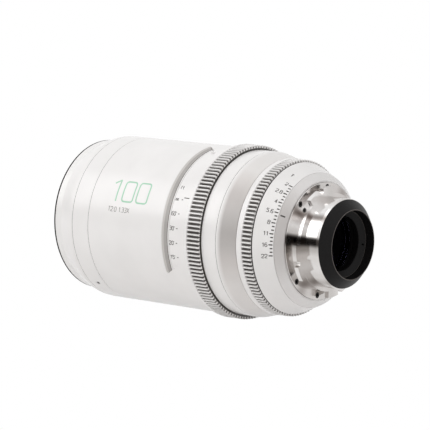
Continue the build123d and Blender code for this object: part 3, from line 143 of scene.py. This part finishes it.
def white_paint(name, low="#f1efee", high="#f6f4f3", painted_shades=(), fans=()):
    """Satin off-white paint: fine peel, a faint cloud of tone, soft sheen.

    Each painted shade (rear, front, reach, fade, dark, light) is a zone of another tone between two
    stations and below the radius reach, which fades out over fade millimetres. Fans are the
    (share of half a turn, tone) stops of painted shade by which a sloped ring darkens round the axis.
    Beside a painted shade they stay inside it, so that the rim beyond it keeps the plain paint.
    """
    made, tree, shader, place = material(name, Roughness=0.26)
    cloud = grain(tree, place, 22, 2)
    tone = add(tree, "ShaderNodeValToRGB", {0: (cloud, 0)}, stops=[(0.3, low), (0.7, high)])
    radius, station = across_axis(tree, place)
    painted_fan_share = 1.0  # how much the painted shade of the fans darkens: all of the piece, or the last painted shade alone
    for rear, front, reach, fade, dark, light in painted_shades:
        # each painted shade mixes a darker tone in between its stations and below its radius
        zone = add(tree, "ShaderNodeValToRGB", {0: (cloud, 0)}, stops=[(0.3, dark), (0.7, light)])
        after = add(tree, "ShaderNodeMath", {0: station, 1: rear * MM}, operation="GREATER_THAN")
        before = add(tree, "ShaderNodeMath", {0: station, 1: front * MM}, operation="LESS_THAN")
        within = add(tree, "ShaderNodeMath", {0: (after, 0), 1: (before, 0)}, operation="MULTIPLY")
        ends = {"Value": radius, "From Min": (reach - fade) * MM, "From Max": reach * MM}
        below = add(tree, "ShaderNodeMapRange", {**ends, "To Min": 1.0, "To Max": 0.0})
        share = add(tree, "ShaderNodeMath", {0: (within, 0), 1: (below, 0)}, operation="MULTIPLY")
        tone = add(tree, "ShaderNodeMixRGB", {0: (share, 0), 1: (tone, 0), 2: (zone, 0)})
        painted_fan_share = (share, 0)
    # painted shade: the fans darken the paint by angle round the axis
    if fans:
        fan_shade_ramp = add(tree, "ShaderNodeValToRGB", {0: (round_axis(tree, place), 0)}, stops=fans)
        both = {0: painted_fan_share, 1: (tone, 0), 2: (fan_shade_ramp, 0)}
        tone = add(tree, "ShaderNodeMixRGB", both, blend_type="MULTIPLY")
    tree.links.new(tone.outputs[0], shader.inputs["Base Color"])
    peel = {"Height": (grain(tree, place, 0.6, 2), 0), "Strength": 0.12, "Distance": 0.02 * MM}
    add(tree, "ShaderNodeBump", peel, feeds=(shader, "Normal"))
    return made


def metal(name, low, high, roughness, stretch, size_mm=0.35):
    """Turned or rolled metal: tone and roughness vary in fine lines left by the tool."""
    made, tree, shader, place = material(name, Metallic=1.0)
    lines = (grain(tree, place, size_mm, 3, stretch), 0)
    stops = [(0.3, low), (0.7, high)]
    add(tree, "ShaderNodeValToRGB", {0: lines}, feeds=(shader, "Base Color"), stops=stops)
    span = {"Value": lines, "To Min": roughness * 0.75, "To Max": roughness * 1.3}
    add(tree, "ShaderNodeMapRange", span, feeds=(shader, "Roughness"))
    scratch = {"Height": lines, "Strength": 0.08, "Distance": 0.002 * MM}
    add(tree, "ShaderNodeBump", scratch, feeds=(shader, "Normal"))
    return made, tree, shader, place


def steel_with_painted_reflections(name, stops):
    """Polished turned steel with a radial sheen, and bright and dark fans painted in as reflections.
    """
    made, tree, shader, place = metal(name, "#e2e0df", "#eceae9", 0.15, (1, 6, 1))
    lines = shader.inputs["Base Color"].links[0].from_node
    # painted reflections: bright and dark fans by angle round the axis, multiplied into the colour
    fans = add(tree, "ShaderNodeValToRGB", {0: (round_axis(tree, place), 0)}, stops=stops)
    fans.color_ramp.interpolation = "EASE"
    both = {0: 1.0, 1: (lines, 0), 2: (fans, 0)}
    add(tree, "ShaderNodeMixRGB", both, feeds=(shader, "Base Color"), blend_type="MULTIPLY")
    shader.inputs["Anisotropic"].default_value = 0.6
    add(tree, "ShaderNodeTangent", feeds=(shader, "Tangent"), direction_type="RADIAL", axis="Y")
    return made


def dull(name, low, high, roughness, size_mm=0.8, specular=0.3, rim_highlight=None):
    """A matte coat: two close tones in a fine grain, a little uneven under the light.

    Rim highlight (radius, half width, hex) paints a lighter ring, a painted highlight, into an edge
    at that radius from the axis.
    """
    made, tree, shader, place = material(name, Roughness=roughness, Specular_IOR_Level=specular)
    specks = (grain(tree, place, size_mm, 4), 0)
    stops = [(0.35, low), (0.65, high)]
    tone = add(tree, "ShaderNodeValToRGB", {0: specks}, feeds=(shader, "Base Color"), stops=stops)
    # painted highlight: a lighter ring at one radius from the axis
    if rim_highlight:
        radius, _ = across_axis(tree, place)
        edge = {0: radius, 1: rim_highlight[0] * MM, 2: rim_highlight[1] * MM}
        highlight_ring = add(tree, "ShaderNodeMath", edge, operation="COMPARE")
        both = {0: (highlight_ring, 0), 1: (tone, 0), 2: colour(rim_highlight[2])}
        add(tree, "ShaderNodeMixRGB", both, feeds=(shader, "Base Color"))
    relief = {"Height": specks, "Strength": 0.1, "Distance": 0.01 * MM}
    add(tree, "ShaderNodeBump", relief, feeds=(shader, "Normal"))
    return made


def lens_glass(name, coat):
    """Coated glass: clear and dark from outside, with a coloured film whose tone drifts.

    Its IOR is below that of bare glass, 1.5, because the coating takes most of the reflection away.
    """
    made, tree, shader, place = material(
        name,
        Transmission_Weight=1.0,
        Roughness=0.03,
        IOR=1.3,
        Coat_Weight=0.35,
        Coat_Roughness=0.05,
        Coat_Tint=colour(coat),
        Specular_Tint=colour(coat),
    )
    drift = (grain(tree, place, 30, 1), 0)
    stops = [(0.3, "#b9c1c0"), (0.7, "#b1b9c2")]
    add(tree, "ShaderNodeValToRGB", {0: drift}, feeds=(shader, "Base Color"), stops=stops)
    return made


# Satin two-part enamel, sprayed: a warm white skin with a faint peel and a soft sheen
PAINT = white_paint("satin_white_enamel")
# The same enamel, with painted shade on the floors between the gear teeth, so that each tooth stands
# out, and a line of painted shade on the rear face at the foot of each gear
FOCUS_SHADED_PAINT = white_paint(
    "focus_gear_enamel_painted_shade",
    painted_shades=[
        (FOCUS_GEAR_REAR, FOCUS_GEAR_FRONT, FOCUS_GEAR_TOP, 0.7, *TOOTH_GAP_SHADE),
        (FOCUS_GEAR_REAR - 0.14, FOCUS_GEAR_REAR + 0.02, FOCUS_FLANGE_TOP, 0.1, "#37332f", "#423e3a"),
    ],
)
# The iris gear's enamel, with the same painted shade between its teeth and on the rear face at its
# foot
IRIS_SHADED_PAINT = white_paint(
    "iris_gear_enamel_painted_shade",
    painted_shades=[
        (IRIS_GEAR_REAR, IRIS_GEAR_FRONT, IRIS_GEAR_TOP, 0.7, *TOOTH_GAP_SHADE),
        (IRIS_GEAR_REAR - 0.3, IRIS_GEAR_REAR + 0.05, IRIS_FLANGE_TOP, 0.1, "#3a3634", "#45413e"),
    ],
)
# Painted shade on the cone between the gears: its colour is a shade greyer, most of all where it
# faces sideways; its rim keeps the plain paint
SHROUD_SHADED_PAINT = white_paint(
    "shroud_enamel_painted_shade",
    painted_shades=[(SHROUD_REAR, SHROUD_FRONT, SHROUD_RIM_RADIUS, 0.7, *SHROUD_SHADE_TONES)],
    fans=[
        (0.0, "#ffffff"),
        (0.17, "#ffffff"),
        (0.22, "#f1efee"),
        (0.28, "#e0dddc"),
        (0.34, "#d4d1d0"),
        (0.4, "#cccac9"),
        (0.45, "#c9c7c6"),
        (0.5, "#cdcbca"),
        (0.555, "#e0dddc"),
        (0.61, "#efedec"),
        (0.68, "#fbfafa"),
        (1.0, "#ffffff"),
    ],
)
# Painted shade on the rear index ring, which slopes the same way: its colour darkens less
INDEX_SHADED_PAINT = white_paint(
    "index_ring_enamel_painted_shade",
    fans=[
        (0.0, "#ffffff"),
        (0.17, "#fbfafa"),
        (0.25, "#ebe9e8"),
        (0.33, "#dad7d6"),
        (0.48, "#d6d3d2"),
        (0.58, "#e3e1e0"),
        (0.7, "#f8f7f7"),
        (1.0, "#ffffff"),
    ],
)
# Painted shade on the bevel of the focus window, which turns away from the light: a grey rim, darker
# low down, then a dark joint line
WINDOW_SHADED_PAINT = white_paint(
    "window_edge_enamel_painted_shade",
    painted_shades=[
        (BEVEL_MIDDLE, BEVEL_TOP, BEVEL_TOP_RADIUS, 0.2, *BEVEL_SHADE_TONES),
        (BEVEL_FOOT, BEVEL_MIDDLE + 0.05, BEVEL_TOP_RADIUS, 0.2, *LOW_BEVEL_SHADE_TONES),
        (BEVEL_FOOT - 0.3, BEVEL_FOOT + 0.05, BEVEL_FOOT_RADIUS, 0.1, *JOINT_TONES),
    ],
)
# Turned and polished stainless steel: near-mirror rings, with bright and dark fans round the axis
# painted into the colour as painted reflections
REFLECTION_PAINTED_STEEL = steel_with_painted_reflections(
    "turned_stainless_painted_reflections",
    stops=[
        (0.0, "#dcdad8"),
        (0.1, "#f0eeed"),
        (0.17, "#ffffff"),
        (0.225, "#ffffff"),
        (0.275, "#9d9794"),
        (0.32, "#e9e7e6"),
        (0.36, "#ffffff"),
        (0.405, "#f4f3f2"),
        (0.441, "#56514e"),
        (0.466, "#5a5552"),
        (0.505, "#cbc8c5"),
        (0.56, "#eceae8"),
        (0.64, "#f2f1f0"),
        (0.72, "#e4e2e0"),
        (0.8, "#b7b2af"),
        (0.87, "#dddad8"),
        (0.94, "#e2dfdd"),
        (1.0, "#dcdad8"),
    ],
)
# Rolled shim steel: dull, greyish and streaked one way
FOIL = metal("rolled_shim_steel", "#a9a6a2", "#bdbab6", 0.3, (3, 1, 1))[0]
# Machined brass of the cam sleeve: warm yellow with fine turning rings
BRASS = metal("machined_brass", "#b8954f", "#cfae6a", 0.28, (1, 5, 1))[0]
# Ground dowel steel: clean, cool and evenly bright
PIN = metal("ground_dowel_steel", "#b5b3b2", "#c9c7c6", 0.2, (1, 1, 4))[0]
# Black anodised aluminium: deep neutral black with a soft edge light
ANODISED = dull("black_anodised", *ANODISED_TONES, 0.45, 0.8, 0.14)
# The rims of the hood and of the baffle in it carry a thin grey line of painted highlight
HOOD_RIM_HIGHLIGHT = (HOOD_RIM_RADIUS, 0.23, "#6a6461")
HOOD_BLACK = dull("hood_anodised_painted_highlight", *ANODISED_TONES, 0.45, 0.8, 0.14, HOOD_RIM_HIGHLIGHT)
BAFFLE_RIM_HIGHLIGHT = (BAFFLE_RIM_RADIUS, 0.14, "#57524f")
BAFFLE_BLACK = dull("baffle_anodised_painted_highlight", *ANODISED_TONES, 0.45, 0.8, 0.14, BAFFLE_RIM_HIGHLIGHT)
# Black oxide on screw steel: slightly browner and glossier than the anodised parts
SCREW = dull("black_oxide_steel", "#1a1918", "#262423", 0.4, 0.4)
# Bead-blasted black anodised: the trim swallows the light and draws a black edge
TRIM = dull("blasted_black_anodised", "#100f0f", "#171616", 0.75, 0.6, 0.08)
# Burnt-black spring steel of the blades: flat dark grey leaves
BLADE = dull("blackened_blade_steel", "#161515", "#201f1e", 0.5, 0.5)
# Optical glass with an anti-reflex coating: dark, with a violet glint
GLASS = lens_glass("coated_optical_glass", "#b9a8d8")
# Engraved and filled marks: warm dark grey, matte, a little uneven
GREY_INK = dull("warm_grey_fill", "#3b3735", "#45413f", 0.55, 0.3)
PALE_INK = dull("pale_grey_fill", "#746f6b", "#807b78", 0.55, 0.3)
# The shadow in the thin joints between the rings
JOINT = dull("joint_shadow", *JOINT_TONES, 0.7, 0.4)
# Mint enamel of the large number: the one colour on the barrel
MINT_INK = dull("mint_enamel_fill", "#a3d2b6", "#b3dcc3", 0.5, 0.3)

slot_finish = {
    "white_paint": PAINT,
    "mount_steel": REFLECTION_PAINTED_STEEL,
    "shim_steel": FOIL,
    "black_anodised": ANODISED,
    "cam_brass": BRASS,
    "black_screw": SCREW,
    "pin_steel": PIN,
    "lens_glass": GLASS,
    "blade_black": BLADE,
}
node_finish = {
    "focus_ring": FOCUS_SHADED_PAINT,
    "iris_ring": IRIS_SHADED_PAINT,
    "cone_shroud": SHROUD_SHADED_PAINT,
    "index_ring": INDEX_SHADED_PAINT,
    "outer_barrel": WINDOW_SHADED_PAINT,
    "trim_ring": TRIM,
    "rear_hood": HOOD_BLACK,
    "baffle_ring": BAFFLE_BLACK,
}
for part in frame["record"]["subparts"]:
    finish = slot_finish[part["material_slot"]]
    finish = node_finish.get(part["node"], finish)
    mesh = nodes[part["node"]].data
    mesh.materials.clear()
    mesh.materials.append(finish)


# Stroke letters: each glyph is a few paths in a box one unit high and WIDE across

WIDE = 0.56
GLYPHS = {
    "0": [[(WIDE / 2, 0), (WIDE, 0), (WIDE, 1), (0, 1), (0, 0), (WIDE / 2, 0)]],
    "1": [[(0.08, 0.76), (0.32, 1), (0.32, 1), (0.32, 0)]],
    "2": [[(0, 0.75), (0, 1), (WIDE, 1), (WIDE, 0.55), (0, 0.2), (0, 0), (0, 0), (WIDE, 0)]],
    "3": [
        [(0, 1), (WIDE, 1), (WIDE, 0.54), (0.15, 0.54)],
        [(0.15, 0.54), (WIDE, 0.54), (WIDE, 0), (0, 0)],
    ],
    "4": [[(0.4, 0), (0.4, 1), (0.4, 1), (0, 0.28), (0, 0.28), (WIDE, 0.28)]],
    "5": [[(WIDE, 1), (0.03, 1), (0.03, 1), (0.03, 0.58), (WIDE, 0.6), (WIDE, 0), (0, 0)]],
    "6": [[(WIDE, 1), (0, 1), (0, 0), (WIDE, 0), (WIDE, 0.58), (0, 0.58)]],
    "7": [[(0, 1), (WIDE, 1), (WIDE, 1), (0.16, 0)]],
    "8": [
        [(WIDE / 2, 0.54), (WIDE, 0.54), (WIDE, 1), (0, 1), (0, 0.54), (WIDE / 2, 0.54)],
        [(WIDE / 2, 0), (WIDE, 0), (WIDE, 0.54), (0, 0.54), (0, 0), (WIDE / 2, 0)],
    ],
    "9": [[(0, 0), (WIDE, 0), (WIDE, 1), (0, 1), (0, 0.42), (WIDE, 0.42)]],
    ".": [[(0, 0), (0.03, 0), (0.06, 0)]],
    "'": [[(0, 1), (0, 0.88), (0, 0.76)]],
    "T": [[(0, 1), (WIDE / 2, 1), (WIDE, 1)], [(WIDE / 2, 1), (WIDE / 2, 0.5), (WIDE / 2, 0)]],
    "f": [[(0.42, 1), (0.18, 1), (0.18, 0)], [(0.02, 0.64), (0.2, 0.64), (0.4, 0.64)]],
    "t": [[(0.18, 1), (0.18, 0), (0.42, 0)], [(0.02, 0.68), (0.2, 0.68), (0.42, 0.68)]],
    "X": [[(0, 0), (WIDE / 2, 0.5), (WIDE, 1)], [(0, 1), (WIDE / 2, 0.5), (WIDE, 0)]],
}
# Widths of the narrow glyphs, of the gap between two and of a blank, in letter heights
NARROW = {"1": 0.44, ".": 0.06, "'": 0.02}
GAP, SPACE = 0.22, 0.5
STROKE_STEP = 0.25  # length of one piece of a stroke, in millimetres
SAME_PLACE = 1e-6  # points closer than this are one point


def rounded(points, rounds=3):
    """Corners cut by the quarter rule: p = 3/4 a + 1/4 b and 1/4 a + 3/4 b, with the ends kept."""
    path = np.array(points, float)
    for _ in range(rounds):
        first, last = path[:1], path[-1:]
        near = 0.75 * path[:-1] + 0.25 * path[1:]
        far = 0.25 * path[:-1] + 0.75 * path[1:]
        path = np.concatenate([first, np.stack([near, far], 1).reshape(-1, 2), last])
    keep = np.concatenate([[True], np.linalg.norm(np.diff(path, axis=0), axis=1) > SAME_PLACE])
    return path[keep]


def evenly(path, step):
    """The path sampled at even steps of its own length."""
    length = np.concatenate([[0], np.cumsum(np.linalg.norm(np.diff(path, axis=0), axis=1))])
    count = max(3, int(length[-1] / step) + 2)
    at = np.linspace(0, length[-1], count)
    return np.stack([np.interp(at, length, path[:, k]) for k in (0, 1)], 1)


def words(text, height):
    """The strokes of a word in millimetres, with its left foot at the origin, and its width.

    The sign ~ stands for infinity: x = 0.5 + 0.5 sin t, y = 0.42 + 0.3 sin 2t, t from 0 to 2 pi.
    """
    strokes, x = [], 0.0
    for letter in text:
        if letter == " ":
            x += SPACE
            continue
        if letter == "~":
            turn = np.linspace(0, 2 * np.pi, 49)
            loop = np.stack([0.5 + 0.5 * np.sin(turn), 0.42 + 0.3 * np.sin(2 * turn)], 1)
            strokes.append((loop + (x, 0)) * height)
            x += 1.0 + GAP
            continue
        for path in GLYPHS[letter]:
            strokes.append((rounded(path) + (x, 0)) * height)
        x += NARROW.get(letter, WIDE) + GAP
    return strokes, (x - GAP) * height


def inlay(name, strokes, width, angle, station, surface, finish, body, lift=INK_LIFT, sink=INK_SINK):
    """Strokes laid on a turned surface as thin closed ribs.

    A point (u, v) goes to y = station - u and a = angle - v / surface(station), at x = -r sin a
    and z = r cos a, with r = surface(y) + lift on top and surface(y) - sink at the foot. Two sides
    and two end caps close the rib.
    """
    verts, faces, start = [], [], 0
    for path in strokes:
        path = evenly(np.asarray(path, float), STROKE_STEP)
        along = np.gradient(path, axis=0)
        along /= np.linalg.norm(along, axis=1)[:, None]
        side = np.stack([-along[:, 1], along[:, 0]], 1) * width / 2
        flat = np.stack([path + side, path - side, path - side, path + side], 1)
        rise = np.array([lift, lift, -sink, -sink])
        y = station - flat[..., 0]
        turn = math.radians(angle) - flat[..., 1] / surface(station)
        r = surface(y) + rise
        point = np.stack([-r * np.sin(turn), y, r * np.cos(turn)], -1)
        count = len(path)
        verts.append(point.reshape(-1, 3) * MM)
        a = start + 4 * np.arange(count - 1)[:, None] + np.arange(4)[None, :]
        b = start + 4 * np.arange(count - 1)[:, None] + (np.arange(4)[None, :] + 1) % 4
        quads = np.stack([a, b, b + 4, a + 4], -1).reshape(-1, 4)
        end = start + 4 * (count - 1)
        caps = np.array([[start + 3, start + 2, start + 1, start], [end, end + 1, end + 2, end + 3]])
        faces.append(np.concatenate([quads, caps]))
        start += 4 * count
    mesh = bpy.data.meshes.new(name)
    mesh.from_pydata(np.concatenate(verts).tolist(), [], np.concatenate(faces).tolist())
    mesh.materials.append(finish)
    piece = bpy.data.objects.new(name, mesh)
    bpy.context.scene.collection.objects.link(piece)
    face_outward(mesh)
    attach(piece, body)
    return piece


def face_outward(mesh):
    """Turns every closed rib so that its faces look outward."""
    work = bmesh.new()
    work.from_mesh(mesh)
    bmesh.ops.recalc_face_normals(work, faces=work.faces)
    work.to_mesh(mesh)
    work.free()


def tick(angle_offset, start, end, radius):
    """A straight mark along the axis, shifted round by an angle."""
    v = -math.radians(angle_offset) * radius
    return np.array([(start, v), ((start + end) / 2, v), (end, v)])


def moved(strokes, du, dv):
    """Strokes shifted along and across."""
    return [path + np.array([du, dv]) for path in strokes]


def sloped(rear, front):
    """A straight cone between two (station, radius) ends: r = r0 + (y - y0) (r1 - r0) / (y1 - y0)."""

    def surface(y):
        return rear[1] + (y - rear[0]) * (front[1] - rear[1]) / (front[0] - rear[0])

    return surface


def cylinder(radius):
    """The same radius at every station, as a plain cylinder has it."""

    def surface(y):
        return np.full(np.shape(y), radius)

    return surface


drum, barrel = cylinder(DRUM_RADIUS), cylinder(BARREL_RADIUS)
cone, index_cone = sloped(CONE_REAR, CONE_FRONT), sloped(INDEX_REAR, CONE_REAR)


def distance_scale():
    """The numbers and ticks round the drum: d feet stands 1 + 610 / d degrees from the index."""
    infinity_turn, foot_turn, unit_turn, station = 1.0, 610.0, 8.0, 83.2
    tick_start, tick_end, height = 4.9, 6.0, 2.3
    numbers, ticks = [], []
    for text in ("60", "30", "20", "15", "12", "10", "8", "7", "6", "5", "4", "3.5", "3"):
        turn = infinity_turn + foot_turn / float(text)
        strokes, _ = words(text + "'", height)
        numbers += moved(strokes, -0.2, -math.radians(turn) * DRUM_RADIUS - height / 2)
        ticks.append(tick(turn, tick_start, tick_end, DRUM_RADIUS))
    strokes, _ = words("~", 2.2)
    numbers += moved(strokes, 0.2, -math.radians(infinity_turn) * DRUM_RADIUS - 1.0)
    ticks.append(tick(infinity_turn, tick_start, tick_end, DRUM_RADIUS))
    strokes, _ = words("ft", 2.05)
    numbers += moved(strokes, 0.8, math.radians(unit_turn) * DRUM_RADIUS - 1.0)
    body = "focus_ring_body"
    inlay("distance_scale", numbers, 0.38, SCALE_ANGLE, station, drum, GREY_INK, body)
    inlay("distance_marks", ticks, 0.5, SCALE_ANGLE, station, drum, GREY_INK, body)


def stop_scale():
    """The T scale on the iris cone: step n stands at 32.5 + 9.15 n degrees, with thirds between."""
    first, step_turn, letter_turn = 32.5 - SCALE_ANGLE, 9.15, SCALE_ANGLE - 21.5
    numbers_at, marks_at, letter_at, body = 19.8, 13.9, 17.5, "iris_ring_body"
    numbers, foot, height = [], 5.1, 2.3
    for step, text in enumerate(("2", "2.8", "4", "5.6", "8", "11", "16", "22")):
        turn = first + step_turn * step
        strokes, wide = words(text, height)
        numbers += moved(strokes, foot - wide, -math.radians(turn) * float(cone(19.6)) - 1.1)
    inlay("stop_numbers", numbers, 0.36, SCALE_ANGLE, numbers_at, cone, GREY_INK, body)
    marks, radius = [], float(cone(13.0))
    for third in range(22):
        start = 0.7 if third % 3 else 0.0
        marks.append(tick(first + step_turn * third / 3, start, 2.2, radius))
    inlay("stop_marks", marks, 0.72, SCALE_ANGLE, marks_at, cone, GREY_INK, body)
    strokes, _ = words("T", height)
    letter = moved(strokes, 0.0, math.radians(letter_turn) * float(cone(letter_at)) - 1.1)
    inlay("stop_letter", letter, 0.45, SCALE_ANGLE, letter_at, cone, GREY_INK, body)


def index_line(name, length, width, station, surface):
    """A straight line along the axis, on a fixed ring, against which a scale is read."""
    line = [np.array([(0.0, 0.0), (length / 2, 0.0), (length, 0.0)])]
    inlay(name, line, width, SCALE_ANGLE, station, surface, GREY_INK, "lens_body")


def focal_length():
    """The large focal length in mint outline strokes, and the largest stop in grey below it."""
    strokes = [rounded([(0.0, 11.3), (4.2, 13.8), (4.2, 13.8), (4.2, 0.0)])]
    foot, low, high, head = 0.2, 5, 8.4, 13.2
    for left in (8.9, 20.4):
        middle, right = left + 4.4, left + 8.8
        outer = [(middle, foot), (right, foot), (right, low), (right, high), (right, head)]
        inner = [(left, head), (left, high), (left, low), (left, foot), (middle, foot)]
        strokes.append(rounded(outer + [(middle, head)] + inner))
    number = moved(strokes, 0.0, -6.9)
    inlay("focal_length", number, 0.95, SCALE_ANGLE, 133.3, barrel, MINT_INK, "lens_body")
    strokes, _ = words("T2.0 1.33X", 2.75)
    stop = moved(strokes, 0.0, -13.3)
    inlay("largest_stop", stop, 0.32, SCALE_ANGLE, 133.6, barrel, PALE_INK, "lens_body")


def joint_line(name, station, radius, width, lift, body, finish=JOINT):
    """A thin dark ring laid in a groove: the path v = r t, t from 0 to 2 pi, at one station."""
    turn = np.linspace(0, 2 * np.pi, 721)
    path = np.stack([np.zeros_like(turn), turn * radius], 1)
    wall, sink = cylinder(radius), 0.3
    return inlay(name, [path], width, SCALE_ANGLE, station, wall, finish, body, lift, sink)


distance_scale()
stop_scale()
index_line("iris_index", 2.0, 0.85, 10.4, index_cone)
index_line("focus_index", 4.0, 0.55, 75.7, barrel)
focal_length()

# The joint lines between the turned rings, and the painted shadow on the floor of the groove behind
# the iris gear
joint_line("trim_edge", 181.35, 47.0, 0.8, 0.5, "lens_body", TRIM)
joint_line("joint_front", 162.7, BARREL_RADIUS, 0.16, -0.07, "lens_body")
joint_line("joint_second", 149.35, BARREL_RADIUS, 0.16, -0.07, "lens_body")
joint_line("joint_middle", 47.0, MIDDLE_RADIUS, 0.16, -0.07, "lens_body")
joint_line("joint_focus_gear", 58.15, 50.3, 0.28, 0.05, "lens_body")
joint_line("gear_groove_shadow", 23.3, 44.7, 0.5, 0.05, "iris_ring_body")


# Ground, light and camera


def seen_plainly(tree):
    """1 for what the eye, a mirror or a glass shows of the backdrop, 0 for the light it gives."""
    path = add(tree, "ShaderNodeLightPath")
    either = {0: (path, "Is Camera Ray"), 1: (path, "Is Glossy Ray")}
    direct = add(tree, "ShaderNodeMath", either, operation="MAXIMUM")
    any_of = {0: (direct, 0), 1: (path, "Is Transmission Ray")}
    return add(tree, "ShaderNodeMath", any_of, operation="MAXIMUM")


def ground():
    """A pale plane under the lens: it gives a soft light back and is seen as plain white."""
    made, tree, shader, place = material("pale_ground", Roughness=0.8)
    cloud = (grain(tree, place, 200, 1), 0)
    stops = [(0.3, "#f1f0ef"), (0.7, "#f7f6f5")]
    add(tree, "ShaderNodeValToRGB", {0: cloud}, feeds=(shader, "Base Color"), stops=stops)
    glow = add(tree, "ShaderNodeEmission", {"Color": (1, 1, 1, 1), "Strength": 1.0})
    out = next(node for node in tree.nodes if node.type == "OUTPUT_MATERIAL")
    both = {0: (seen_plainly(tree), 0), 1: (shader, 0), 2: (glow, 0)}
    add(tree, "ShaderNodeMixShader", both, feeds=(out, "Surface"))
    mesh = bpy.data.meshes.new("ground")
    half, low = 4.0, -0.056
    corners = [(-half, -half, low), (half, -half, low), (half, half, low), (-half, half, low)]
    mesh.from_pydata(corners, [], [(0, 1, 2, 3)])
    mesh.materials.append(made)
    piece = bpy.data.objects.new("ground", mesh)
    bpy.context.scene.collection.objects.link(piece)


def softbox(name, place, size, power, aim=(0, 0.09, 0)):
    """A soft light with straight sides that looks at the lens."""
    light = bpy.data.lights.new(name, "AREA")
    light.shape = "RECTANGLE"
    light.size, light.size_y = size
    light.energy = power
    lamp = bpy.data.objects.new(name, light)
    lamp.location = place
    lamp.rotation_euler = (Vector(aim) - Vector(place)).to_track_quat("-Z", "Y").to_euler()
    bpy.context.scene.collection.objects.link(lamp)


def black_card(name, middle, along, size):
    """A black card that stands on the ground, unseen by the camera.

    Along is its direction seen from above. The sheen on the barrel ends where its top is mirrored.
    """
    made, tree, shader, place = material(name + "_felt", Roughness=0.9)
    felt = (grain(tree, place, 1.5), 0)
    stops = [(0.3, "#0e0e0e"), (0.7, "#161616")]
    add(tree, "ShaderNodeValToRGB", {0: felt}, feeds=(shader, "Base Color"), stops=stops)
    way = Vector((*along, 0)).normalized() * size[0] / 2
    rise, spot = Vector((0, 0, size[1] / 2)), Vector(middle)
    corners = [spot - way - rise, spot + way - rise, spot + way + rise, spot - way + rise]
    mesh = bpy.data.meshes.new(name)
    mesh.from_pydata([tuple(corner) for corner in corners], [], [(0, 1, 2, 3)])
    mesh.materials.append(made)
    card = bpy.data.objects.new(name, mesh)
    card.visible_camera = False
    card.visible_transmission = False
    bpy.context.scene.collection.objects.link(card)


def sky():
    """White where it is seen or mirrored; as a light, a soft room, bright above and darker below."""
    world = bpy.data.worlds.new("studio")
    bpy.context.scene.world = world
    world.use_nodes = True
    tree = world.node_tree
    tree.nodes.clear()
    out = add(tree, "ShaderNodeOutputWorld")
    look = add(tree, "ShaderNodeTexCoord")
    parts = add(tree, "ShaderNodeSeparateXYZ", {0: (look, "Generated")})
    span = {"Value": (parts, "Z"), "From Min": -0.6, "From Max": 0.6}
    height = add(tree, "ShaderNodeMapRange", span)
    stops = [(0.0, "#a8a5a3"), (0.45, "#a19e9c"), (0.62, "#d8d6d4"), (1.0, "#ffffff")]
    tone = add(tree, "ShaderNodeValToRGB", {0: (height, 0)}, stops=stops)
    room = add(tree, "ShaderNodeBackground", {"Color": (tone, 0), "Strength": 0.6})
    white = add(tree, "ShaderNodeBackground", {"Color": (1, 1, 1, 1), "Strength": 1.0})
    both = {0: (seen_plainly(tree), 0), 1: (room, 0), 2: (white, 0)}
    add(tree, "ShaderNodeMixShader", both, feeds=(out, "Surface"))


def camera():
    """The camera worked out from the rings in the photograph."""
    place, lens_mm, sensor_mm = (-1.0708, -0.8171, 0.2126), 192.6, 36.0
    right = Vector((0.646, -0.763, 0.0)).normalized()
    forward = Vector((0.755, 0.640, -0.1447)).normalized()
    up = right.cross(forward).normalized()
    made = bpy.data.cameras.new("camera")
    made.sensor_width = sensor_mm
    made.lens = lens_mm
    made.clip_end = 20.0
    body = bpy.data.objects.new("camera", made)
    turn = Matrix((right, up, -forward)).transposed().to_4x4()
    body.matrix_world = Matrix.Translation(place) @ turn
    bpy.context.scene.collection.objects.link(body)
    bpy.context.scene.camera = body


ground()
sky()
softbox("key_box", place=(-1.05, 0.87, 0.8), size=(1.4, 0.9), power=7.6)
softbox("top_box", place=(-0.45, -0.25, 1.3), size=(1.4, 1.4), power=4.8)
black_card("low_card", middle=(-0.905, 0.88, 0.105), along=(0.657, 0.754), size=(2.4, 0.32))
camera()
bpy.context.scene.view_settings.view_transform = "Standard"
